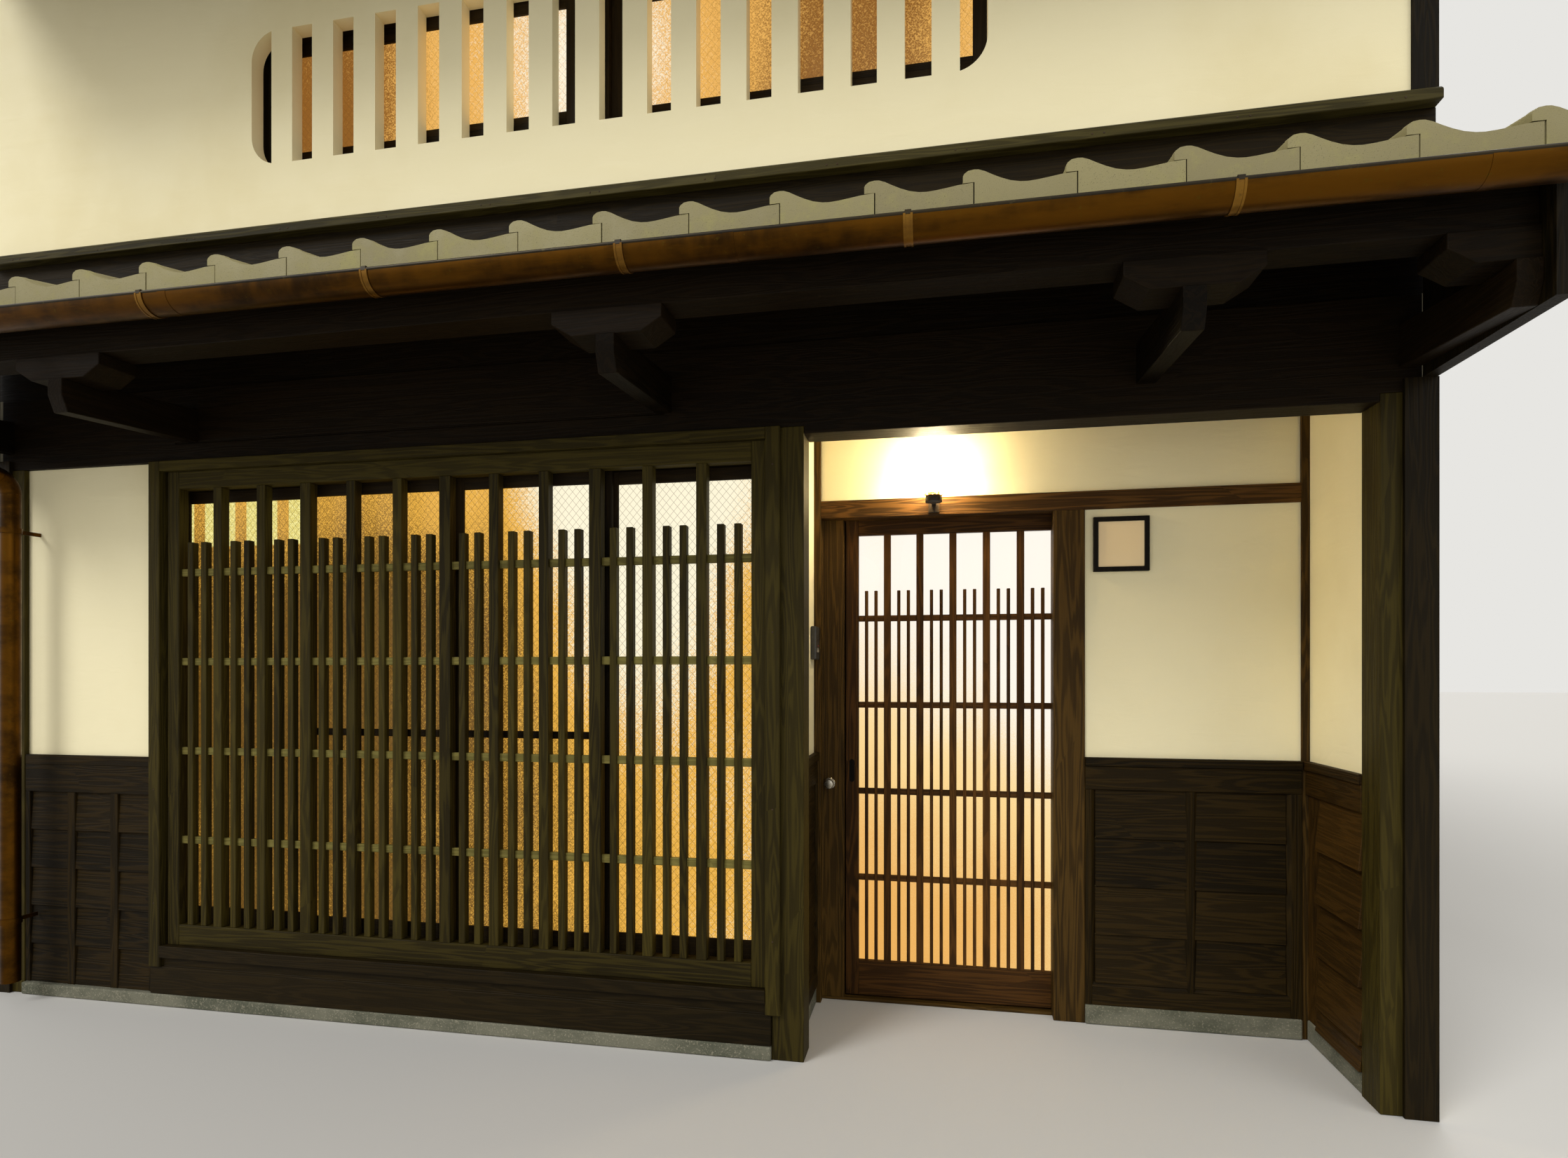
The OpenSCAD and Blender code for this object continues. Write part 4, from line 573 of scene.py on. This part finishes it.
# Sliding lattice door: one leaf with stiles and rails, parent bars to the top and child bars to
# three quarters, rails behind them, glass at the back, a finger pull, and two rollers.
leaf_l, leaf_r, leaf_y, leaf_foot, leaf_head = 893, 1807, 627, 18.3, 2090
leaf_stile, foot_rail, head_rail = 55.5, 149, 80
open_l, open_w = leaf_l + leaf_stile, leaf_r - leaf_l - 2 * leaf_stile
leaf = framed(leaf_l, leaf_r, (leaf_y, leaf_y + 35), leaf_foot, leaf_head, leaf_stile, foot_rail,
              head_rail)
leaf += lattice(open_l, open_w, 6, 30, 14, (leaf_y, leaf_y + 18), (leaf_y + 1, leaf_y + 17),
                leaf_foot + foot_rail, leaf_head - head_rail, 1770)
for z in (1650, 1276, 902, 528):
    leaf.append(((open_l, open_l + open_w), (leaf_y + 4, leaf_y + 16), (z - 13, z + 13), "X"))
door_timber = timber("door_timber", (40, 25, 9), (100, 65, 26), rings=0.8, knots=0.3)
joinery("door_leaf_members", leaf, door_timber, "entrance_door", arris=1.5,
        body="sliding_door")


def stadium(w, h, steps=10):
    """Outline (x, z) of an upright slot with round ends."""
    turns = [math.pi * k / steps for k in range(steps + 1)]
    half = [(w / 2 * math.cos(a), (h - w) / 2 + w / 2 * math.sin(a)) for a in turns]
    return half + [(-x, -z) for x, z in half]


pull_x, pull_z = 919.5, 990
pull_points, pull_faces = [], []
for w, h, near, far in ((22, 99, -0.8, 1), (15, 91, -1.2, 0)):
    pull_faces += ring_faces(2, len(stadium(w, h)), len(pull_points), True)
    pull_points += [on_house(pull_x + x, leaf_y + y, pull_z + z)
                    for y in (near, far) for x, z in stadium(w, h)]
pull_shadow = timber("pull_shadow", (9, 6, 3), (20, 13, 6), "Z", 0.3)
new_piece("finger_pull", pull_points, pull_faces, pull_shadow, body="sliding_door")
# The door's glass glows with painted light of the lit room behind it, brighter to the right and towards
# the top.
dress("door_glass", finish(
    "door_glazing", glass, depth=0.0002, Dim=(236, 174, 88), Warm=(253, 218, 150),
    Bright=(255, 249, 238), From=0.9, To=2.6, Low=0.3, High=1.95, Top=1.0, Spread=(1, 0, 1), Reach=0.01,
    Pebble=500.0, Emission_Strength=0.98, IOR=1.5, Specular_IOR_Level=0.2))

# Fittings of the entrance: a turned steel knob on the side panel, a blown glass shade in its black
# holder, a wooden frame round a bare panel on the plaster, and a moulded intercom with a button.


def turned(name, profile, at, turn, material, stands_for, steps=40, pleats=0):
    """Closed turned piece from a profile of (radius, height) in millimetres; pleats wave its wall."""
    points = []
    for r, h in profile:
        for k in range(steps):
            a = 2 * math.pi * k / steps
            wave = r * (1 + 0.03 * math.cos(pleats * a)) if pleats and r > 10 else r
            p = turn @ Vector((wave * math.cos(a), wave * math.sin(a), h)) / 1000
            points.append(p + Vector(on_house(*at)))
    new_piece(name, points, ring_faces(len(profile), steps), material, stands_for, smooth=40)


metal, given = effect("handled_metal", "Base Tarnish", "Dull")
marks = stretched(metal, (45, 45, 45), Detail=5.0, Roughness=0.7)
give(metal, Color=blend(metal, ramp(metal, marks, 0.4, 0.7), given["Base"], given["Tarnish"]),
     Roughness=plus(metal, ramp(metal, marks, 0.3, 0.7, 0.0, 0.18), given["Dull"]),
     Height=marks)
steel = finish("knob_metal", metal, depth=0.0001, Base=(196, 190, 176), Tarnish=(150, 140, 118),
               Dull=0.18, Metallic=1.0)
to_street, upright = Matrix.Rotation(math.radians(90), 3, "X"), Matrix.Identity(3)
knob = [(24.5, 0), (24.5, 3), (22, 5.5), (10, 6.5), (8.5, 9), (8.5, 20), (12, 23), (18, 26), (20.6, 31),
        (20.8, 36), (18.5, 40), (13, 42)]
turned("door_knob_turned", knob, (826, 600, 936), to_street, steel, "door_knob")
black_metal = finish("lamp_metal", metal, depth=0.0002, Base=(40, 33, 24), Tarnish=(70, 56, 36),
                     Dull=0.4, Metallic=0.6)
dress("lamp_bracket", black_metal, 0.002)
shade_glass = finish(
    "shade_glass", glass, depth=0.0004, Dim=(34, 24, 8), Warm=(220, 170, 100), Bright=(255, 236, 192),
    From=5.0, To=6.0, Low=2.136, High=2.175, Top=1.1, Spread=(1, 0, 1), Reach=0.01, Pebble=120.0,
    Inward=1.0, Emission_Strength=110.0, IOR=1.5)
shade = [(10, 0), (36, 0), (38.5, 3), (41, 10), (47, 30), (55, 60), (64, 92), (70, 110), (67.5, 109),
         (61, 92), (52, 60), (44, 30), (38, 12), (34, 5), (10, 4)]
turned("lamp_shade_blown", shade, (1271, 468, 2137), upright, shade_glass, "lamp_shade",
       120, 12)
dress("framed_sign", timber("sign_frame", (14, 11, 8), (36, 29, 20), "Z", 0.5), 0.002)


def plate(name, x, y, z, material):
    """Small flat piece between two values of x, y and z in millimetres."""
    corners, sheets, middle = chamfered(*zip(x, y, z), 0.2)
    new_piece(name, [on_house(*(c + middle)) for c in corners], sheets, material)


def moulded(name, base, tarnish, dull=0.35, **glow):
    return finish(name, metal, depth=0.0001, Base=base, Tarnish=tarnish, Dull=dull, **glow)


panel = finish("sign_panel", plaster, depth=0.0001, Base=(254, 228, 180), Stain=(250, 216, 164))
plate("sign_panel", (1923, 2098), (549.2, 550), (1841, 2023), panel)
dress("intercom", moulded("dark_plastic", (46, 45, 42), (58, 56, 51)), 0.006)
case_x, grille_z = 788.5, 1548
plate("intercom_button", (case_x, case_x + 2), (480, 514), (1500, 1519),
      moulded("intercom_button", (168, 160, 140), (146, 138, 118)))
for k in range(4):
    slat_z = grille_z + 7 * k
    plate("intercom_grille_%d" % k, (case_x, case_x + 1.1), (476, 518), (slat_z, slat_z + 3),
          black_metal)
red_light = moulded("red_light", (170, 30, 16), (150, 24, 14), 0.3, Emission_Color=(230, 40, 20),
                    Emission_Strength=0.6)
plate("intercom_light", (case_x, case_x + 1.3), (507, 511), (1527, 1531), red_light)

# Eaves: bracket arms grow out of the beam and carry, on chamfered bolsters, the purlin of the pent
# roof; rafters and boards lie on it. Squared and planed timber, the same dark stain with painted shade.
eaves_shade_outward_timber = timber("eaves_shade_outward_timber", *EAVES_SHADE, "Y")
dress("eaves_arms", eaves_shade_outward_timber, 0.003)
dress("eaves_bolsters", eaves_shade_level_timber, 0.003)
dress("purlins", eaves_shade_level_timber, 0.003)
dress("rafters", eaves_shade_outward_timber, 0.002)
dress("roof_boards", eaves_shade_outward_timber)

# Tiling of the pent roof and of the main roof: smoked silver-grey clay pantiles in courses, each
# lapping its neighbour with a rounded roll, and eave tiles with a straight flat face, wired to the
# boards. Flat tiles bedded in lime mortar close the top course against the wall.
clay, given = effect("smoked_clay", "Base Lichen")
firing = stretched(clay, (0.9, 0.9, 0.9), Detail=1.0)
cast = stretched(clay, (9, 9, 9), Detail=6.0, Roughness=0.7)
pores = stretched(clay, (380, 380, 380), Detail=2.0)
grey = blend(clay, ramp(clay, firing, 0.3, 0.7, 0.0, 0.6), given["Base"], stain(156, 147, 102))
grey = blend(clay, ramp(clay, cast, 0.5, 0.75, 0.0, 0.7), grey, given["Lichen"])
give(clay, Color=blend(clay, ramp(clay, pores, 0.62, 0.72, 0.0, 0.6), grey, stain(84, 79, 52)),
     Roughness=ramp(clay, cast, 0.3, 0.7, 0.5, 0.75),
     Height=plus(clay, pores, times(clay, cast, 0.6)))
tile_clay = finish("tile_clay", clay, "members", 0.0006, Base=(136, 127, 90), Lichen=(158, 151, 96),
                   Specular_IOR_Level=0.3)

# Top of a pantile as (distance from its left joint, height over the eave tile's lower edge)
TILE_W, TILE_T, LAP, JOINT_X, ROOF_X, ROLL_TOP, LIP_Z = 265, 16, 45, -1792, 2900, 98, 65
PANTILE = [(-28, 83), (-25, 89), (-15, 96), (0, 98), (12, 97), (28, 91), (48, 80), (70, 69), (95, 59),
           (120, 53.5), (140, 52), (165, 53.5), (195, 57), (225, 61), (262, 63)]


class RoofWork:
    """Solids of one slope, ridge or gutter in one piece. Each lies elsewhere in the grain."""

    def __init__(self, name, side=-1):
        self.name, self.side = name, side
        self.rng = random.Random(name)
        self.points, self.faces, self.grain_at = [], [], []

    def solid(self, near, far):
        """Adds the closed solid between two like outlines of (x, y, z) in millimetres."""
        near, far = [[Vector(on_house(*p, self.side)) for p in line] for line in (near, far)]
        shift = Vector([self.rng.uniform(-30, 30) for k in range(3)])
        self.grain_at += [p + shift for p in near + far]
        area = sum((near[i - 1].cross(near[i]) for i in range(len(near))), Vector())
        self.faces += ring_faces(2, len(near), len(self.points), area.dot(far[0] - near[0]) <= 0)
        self.points += near + far

    def along(self, outline, a, b, y=0, z=0):
        """The solid that an outline of (y, z) makes from a to b along X, moved by y and z."""
        self.solid(*([(x, y + u, z + h) for u, h in outline] for x in (a, b)))

    def finished(self, material, slot, stands_for=None, smooth=35):
        new_piece(self.name, self.points, self.faces, material, stands_for,
                  grain_at=self.grain_at, smooth=smooth)


def tile_course(ware, edge_y, top_z, slope, length, face_h):
    """One course of pantiles; face_h is the height of the straight face of eave tiles, or 0."""
    for k in range((-ROOF_X - JOINT_X) // TILE_W, math.ceil((ROOF_X - JOINT_X) / TILE_W)):
        joint = JOINT_X + k * TILE_W
        lie = ware.rng.uniform(-1.5, 1.5)
        shape = [(joint + u, h) for u, h in PANTILE]
        left, right = max(shape[0][0], -ROOF_X), min(shape[-1][0], ROOF_X)
        if right - left < 30:
            continue
        places = [left] + [x for x, h in shape if left < x < right] + [right]
        top = [(x, float(np.interp(x, *zip(*shape)))) for x in places]
        under = [(x, min(h - TILE_T, LIP_Z)) for x, h in reversed(top)]

        def at(line, y, drop=0):
            return [(x, edge_y + y, top_z - ROLL_TOP + h + y * slope - drop) for x, h in line]
        ware.solid(at(top + under, lie), at(top + under, length, 18))
        if face_h:
            low = ROLL_TOP - face_h
            body_l, body_r = max(joint + 1.6, -ROOF_X), min(joint + TILE_W - 1.6, ROOF_X)
            proud = 0.4
            skin = [(max(left - proud, -ROOF_X), top[0][1] + proud)]
            skin += [(x, h + proud) for x, h in top[1:]]
            outline = skin + [(body_r, h) for x, h in skin[-1:] if body_r > x]
            outline += [(body_r, low), (body_l, low)]
            if joint > -ROOF_X:
                outline += [(body_l, LIP_Z - proud), (skin[0][0], LIP_Z - proud)]
            ware.solid(at(outline, lie - 2), at(outline, 22))


def tiled_slope(name, stands_for, side, edge_y, top_z, slope, courses, end_y, face_h):
    """Courses of one slope from the eave to end_y. top_z is the top of the rolls at the eave."""
    ware = RoofWork(name, side)
    run = (end_y - edge_y) / courses
    for c in range(courses):
        length = run + (LAP if c < courses - 1 else 0)
        tile_course(ware, edge_y + c * run, top_z + c * run * slope, slope, length, 0 if c else face_h)
    ware.finished(tile_clay, "roof_tile", stands_for)


PENT_EDGE, PENT_SLOPE, PENT_ROLL = -686, 0.30, 2763
MAIN_EDGE, MAIN_SLOPE, MAIN_ROLL = -676, 0.42, 4530
for side, part in ((-1, "front"), (1, "rear")):
    tiled_slope("pent_tiles_" + part, "pent_roof", side, PENT_EDGE, PENT_ROLL, PENT_SLOPE, 3, 8, 98)
    tiled_slope("main_tiles_" + part, "main_roof", side, MAIN_EDGE, MAIN_ROLL, MAIN_SLOPE, 20, 3816,
                119)
    flashing = RoofWork("pent_flashing_" + part, side)
    roll_z = PENT_ROLL + (-95 - PENT_EDGE) * PENT_SLOPE
    outline = [(-102, roll_z), (-104, roll_z + 8), (-98, roll_z + 19), (8, roll_z + 38),
               (8, roll_z + 19)]
    for x in range(-ROOF_X, ROOF_X, 300):
        flashing.along(outline, x, min(x + 298, ROOF_X))
    flashing.finished(tile_clay, "roof_tile", "pent_roof")
    bed = RoofWork("pent_bedding_" + part, side)
    outline = [(-80, roll_z - 46), (-76, roll_z + 6), (8, roll_z + 26), (8, roll_z - 20)]
    bed.along(outline, 2 - ROOF_X, ROOF_X - 2)
    bed.finished(wall_plaster, "plaster", "pent_roof")

# Ridge of the main roof: five stacked courses of flat tiles on a bed of lime mortar, stepping in
# as they rise, half-round cap tiles with collars over them, and a plain end tile at each gable.
RIDGE_FOOT, FLAT_Z, RIDGE_TOP, MIDDLE = 6330, 6425, 6563, 3940
COURSES, TILE_L, CAP_R, RIDGE_X = 5, 300, 78, 2855
ridge = RoofWork("ridge_tiles")
rise = (RIDGE_TOP - FLAT_Z) / COURSES
for c in range(COURSES):
    half, z = 132 - 9 * c, FLAT_Z + c * rise
    for end in (-1, 1):
        outline = [(0, z), (half - 3, z), (half, z + 5), (half - 5, z + rise - 6), (0, z + rise + 1)]
        for x in range(-RIDGE_X - c % 2 * TILE_L // 2, RIDGE_X, TILE_L):
            a, b = max(x, -RIDGE_X), min(x + TILE_L - 2, RIDGE_X)
            if b - a > 20:
                ridge.along([(end * y, h) for y, h in outline], a, b, MIDDLE)


def arc(radius, start, stop, steps=18):
    """Points (y, z) of an arc between two angles in degrees, from the yard side round above."""
    turns = [math.radians(start + (stop - start) * k / steps) for k in range(steps + 1)]
    return [(radius * math.cos(a), radius * math.sin(a)) for a in turns]


for x in range(-RIDGE_X, ROOF_X - 50, TILE_L):
    end_x = min(x + TILE_L, RIDGE_X)
    for a, b, radius in ((x, end_x - 1, CAP_R), (x + 2, x + 34, CAP_R + 6)):
        ridge.along(arc(radius, 0, 180, 14), a, b, MIDDLE, RIDGE_TOP)
arch = [(-130, RIDGE_FOOT), (-130, 6474), (-144, 6474)]
arch += [(-144 * math.cos(a), 6560 + 94 * math.sin(a)) for a in (math.pi * k / 16 for k in range(17))]
arch += [(144, 6474), (130, 6474), (130, RIDGE_FOOT)]
inner = [(y * 0.86, 6470 + (h - 6470) * 0.86) for y, h in arch if h > 6475]
for end in (-1, 1):
    for outline, near, far in ((arch, 2850, 2893), (inner, 2893, 2899)):
        ridge.along(outline, end * near, end * far, MIDDLE)
ridge.finished(tile_clay, "roof_tile", "roof_ridge")
bed = RoofWork("ridge_bedding")
outline = [(-118, RIDGE_FOOT + 10), (-112, 6430), (112, 6430), (118, RIDGE_FOOT + 10),
           (0, RIDGE_FOOT + 40)]
bed.along(outline, 48 - ROOF_X, ROOF_X - 48, MIDDLE)
bed.finished(wall_plaster, "plaster", "roof_ridge")

# Gutters and downpipes: half-round troughs folded from copper sheet gone brown and gold, with a
# rolled rim, lapped and soldered every two metres, hung in straps from the fascia; the pipe runs
# back under the eaves and down beside the left end post.
copper, given = effect("aged_copper", "Base Brown Patina")
age = stretched(copper, (1.6, 9, 9), Detail=6.0, Roughness=0.65)
streak = stretched(copper, (22, 22, 2.5), Detail=4.0)
spots = stretched(copper, (60, 60, 60), Detail=4.0, Roughness=0.7)
aged = times(copper, ramp(copper, age, 0.35, 0.65), ramp(copper, streak, 0.3, 0.7, 0.5, 1.0))
toned = blend(copper, aged, given["Base"], given["Brown"])
give(copper, Color=blend(copper, ramp(copper, spots, 0.60, 0.72, 0.0, 0.55), toned, given["Patina"]),
     Roughness=ramp(copper, age, 0.3, 0.7, 0.30, 0.50), Height=age)
sheet_copper = finish("sheet_copper", copper, depth=0.0005, Base=(90, 56, 6), Brown=(42, 25, 3),
                      Patina=(84, 67, 16), Metallic=0.95)
rim_copper = finish("rim_copper", copper, depth=0.0003, Base=(46, 36, 14), Brown=(26, 19, 7),
                    Patina=(78, 70, 38), Metallic=0.6)
strap_copper = finish("strap_copper", copper, depth=0.0003, Base=(132, 94, 30), Brown=(84, 54, 14),
                      Patina=(60, 48, 20), Metallic=0.85)
GUTTER_R, SHEET, SHEET_L, STRAP_W, STRAP_PITCH = 52, 2.5, 1820, 25, 795


def band(outer, inner):
    """Outline of a half-round trough between two radii."""
    return arc(outer, 180, 360) + arc(inner, 360, 180)


def gutter_run(name, side, y, z, fascia_y):
    """Trough, rims and straps of one gutter round its axis at (y, z)."""
    trough, rims, straps = (RoofWork(name + part, side) for part in ("_trough", "_rim", "_straps"))
    for x in range(-ROOF_X, ROOF_X, SHEET_L):
        end_x = min(x + SHEET_L, ROOF_X)
        trough.along(band(GUTTER_R, GUTTER_R - SHEET), x, end_x, y, z)
        if end_x < ROOF_X:
            trough.along(band(GUTTER_R + 0.9, GUTTER_R - 0.5), end_x - 18, end_x + 12, y, z)
    for x in (-ROOF_X, ROOF_X - SHEET):
        trough.along(arc(GUTTER_R - SHEET, 180, 360), x, x + SHEET, y, z)
    rims.along([(-48 + u, 2 + h) for u, h in arc(6, 0, 337.5, 15)], -ROOF_X, ROOF_X, y, z)
    for k in range(-4, 4):
        x = (k + 0.5) * STRAP_PITCH + 25
        a, b = x - STRAP_W / 2, x + STRAP_W / 2
        straps.along(band(GUTTER_R + 1.6, GUTTER_R), a, b, y, z)
        for ridge_x in (a, b - 6):
            straps.along(band(GUTTER_R + 3, GUTTER_R + 1), ridge_x, ridge_x + 6, y, z)
        straps.along([(51, -1), (54, -1), (54, 43), (51, 43)], a, b, y, z)
        straps.along([(51, 40), (51, 43), (fascia_y - y, 43), (fascia_y - y, 40)], a, b, y, z)
        rims.along([(-54.5, -2), (-54.5, 9), (-50, 12), (-41, 10), (-40, 4), (-46, 9), (-52, -2)],
                   a + 4, b - 4, y, z)
    for ware, material in ((trough, sheet_copper), (rims, rim_copper), (straps, strap_copper)):
        ware.finished(material, "copper", "gutters", 50)


for side, part in ((-1, "front"), (1, "rear")):
    gutter_run("pent_gutter_" + part, side, -745, 2604, -664)
    gutter_run("main_gutter_" + part, side, -735, 4350, -654)
dress("downpipes", sheet_copper)

# Upper storey front: dark boards and a trim board over the pent roof, then lime plaster with a
# long slot window whose upright bars are plastered too, behind it two pairs of glazed sliding
# sashes in a frame with a middle post, and an edge board on the right.
HALF_W, roof_line, trim_low, trim_edge = 2845, 2940, 3212, 3244
front_w, board_y, trim_y = (-HALF_W, HALF_W), (8, 120), (-35, 120)
for name, members, wood in (
        ("upper_board_members", [(front_w, board_y, (2620, roof_line), "X")],
         timber("eaves_shade_boards", *EAVES_SHADE)),
        ("upper_show_boards", [(front_w, board_y, (roof_line, trim_low), "X")],
         timber("shaded_boards", *SHADED, knots=0.3)),
        ("upper_trim_members", [(front_w, trim_y, (trim_low, trim_edge), "X"),
                                (front_w, trim_y, (trim_edge, trim_edge + 13), "X", 13)],
         timber("trim_timber", (30, 26, 11), (80, 72, 38), rings=0.8, knots=0.2))):
    joinery(name, members, wood, "upper_boards", BOTH)
dress("upper_end_boards", shaded_upright_timber, 0.002)
for name in ("upper_front_wall", "upper_rear_wall", "slot_bars"):
    dress(name, wall_plaster)
pocket_l, pocket_w, pocket_z, pocket_h = -1555, 3056, 3480, 631
frame_bar, middle_post, pair_w, upper_stile = 32, 120, 1436, 57
low, high = pocket_z + frame_bar, pocket_z + pocket_h - frame_bar
upper_frame = [((pocket_l, pocket_l + pocket_w), (65, 120), z, "X") for z in
               ((pocket_z, low), (high, pocket_z + pocket_h))]
upper_frame += [((x, x + w), (65, 120), (low, high), "Z") for x, w in
                ((pocket_l, frame_bar), (pocket_l + frame_bar + pair_w, middle_post),
                 (pocket_l + pocket_w - frame_bar, frame_bar))]
upper = []
leaf_w = (pair_w + upper_stile) / 2
for pair_x in (pocket_l + frame_bar, pocket_l + frame_bar + pair_w + middle_post):
    for i in range(2):
        x0, y = pair_x + i * (pair_w - leaf_w), (95 - 30 * i, 118 - 30 * i)
        members = framed(x0, x0 + leaf_w, y, low, high, upper_stile, 80, 54)
        between = x0 + upper_stile, x0 + leaf_w - upper_stile
        members.insert(3, (between, (y[0] + 2, y[1]), (low + 80, low + 108), "X"))
        upper += members
nail_heads("trim_nails", [(-2700 + 450 * k + dx, -35, 3226) for k in range(13) for dx in (0, 38)])
joinery("upper_frame_members", upper_frame, sash_timber, "upper_frames", BOTH, 1.5)
joinery("upper_sash_members", upper, sash_timber, "upper_sashes", BOTH, 1.5)
# The glass glows with painted light of the lit rooms behind it, brightest round a spot by the middle
# post.
dress("upper_glass", finish(
    "upper_glazing", glass, depth=0.0006, Dim=(136, 88, 35), Warm=(234, 178, 92),
    Bright=(252, 242, 218), From=1.05, To=1.55, Low=1.0, High=2.2, Lamp=(-0.123, 0, 3.85),
    Spread=(1, 0, 0.6), Reach=0.96, Wire=0.3, Pebble=200.0, Emission_Strength=1.0, IOR=1.5,
    Specular_IOR_Level=0.2))

# Party walls and floors: clay walls with upright weathered boards and cover battens nailed on from
# the mortar at the foot to the eaves; packed earth and mortar below, floor boards above.
party_timber = timber("party_boards", (80, 72, 58), (134, 124, 102), "members", 0.9, 0.6, 0.0012)
DEPTH, POST, BOARDS, VERGE_Z = 7880, 120, 42, 4755.4
board_run = (DEPTH - 2 * POST) / BOARDS


def under_verge(y):
    return VERGE_Z + MAIN_SLOPE * (min(y, DEPTH - y) - POST) - 3


for end, part in ((-1, "left"), (1, "right")):
    boards = RoofWork("party_boards_" + part)
    for k in range(BOARDS + 1):
        y = POST + k * board_run
        upright = [(max(y - 18, POST + 1), min(y + 18, DEPTH - POST - 1), 14, 24)]
        if k < BOARDS:
            upright.append((y + 1.5, y + board_run - 1.5, 0, 14))
        for a, b, near, far in upright:
            middle = [(DEPTH / 2, under_verge(DEPTH / 2))] if a < DEPTH / 2 < b else []
            outline = [(a, 130), (b, 130), (b, under_verge(b)), *middle, (a, under_verge(a))]
            boards.along(outline, end * (HALF_W + near), end * (HALF_W + far))
    boards.finished(party_timber, "wall_boards", smooth=None)
for name in ("left_party_wall", "right_party_wall"):
    dress(name, finish(name + "_plaster", plaster, depth=0.0015, Base=(206, 196, 166),
                       Stain=(176, 160, 124)))
dress("ground_floor", finish("floor_mortar", grit, Base=(124, 118, 104), Stain=(100, 94, 80),
                             Fleck=(146, 138, 120), Grit=220.0))
dress("upper_floor", timber("floor_boards", (78, 58, 36), (128, 100, 64), "X", 0.8, 0.6))
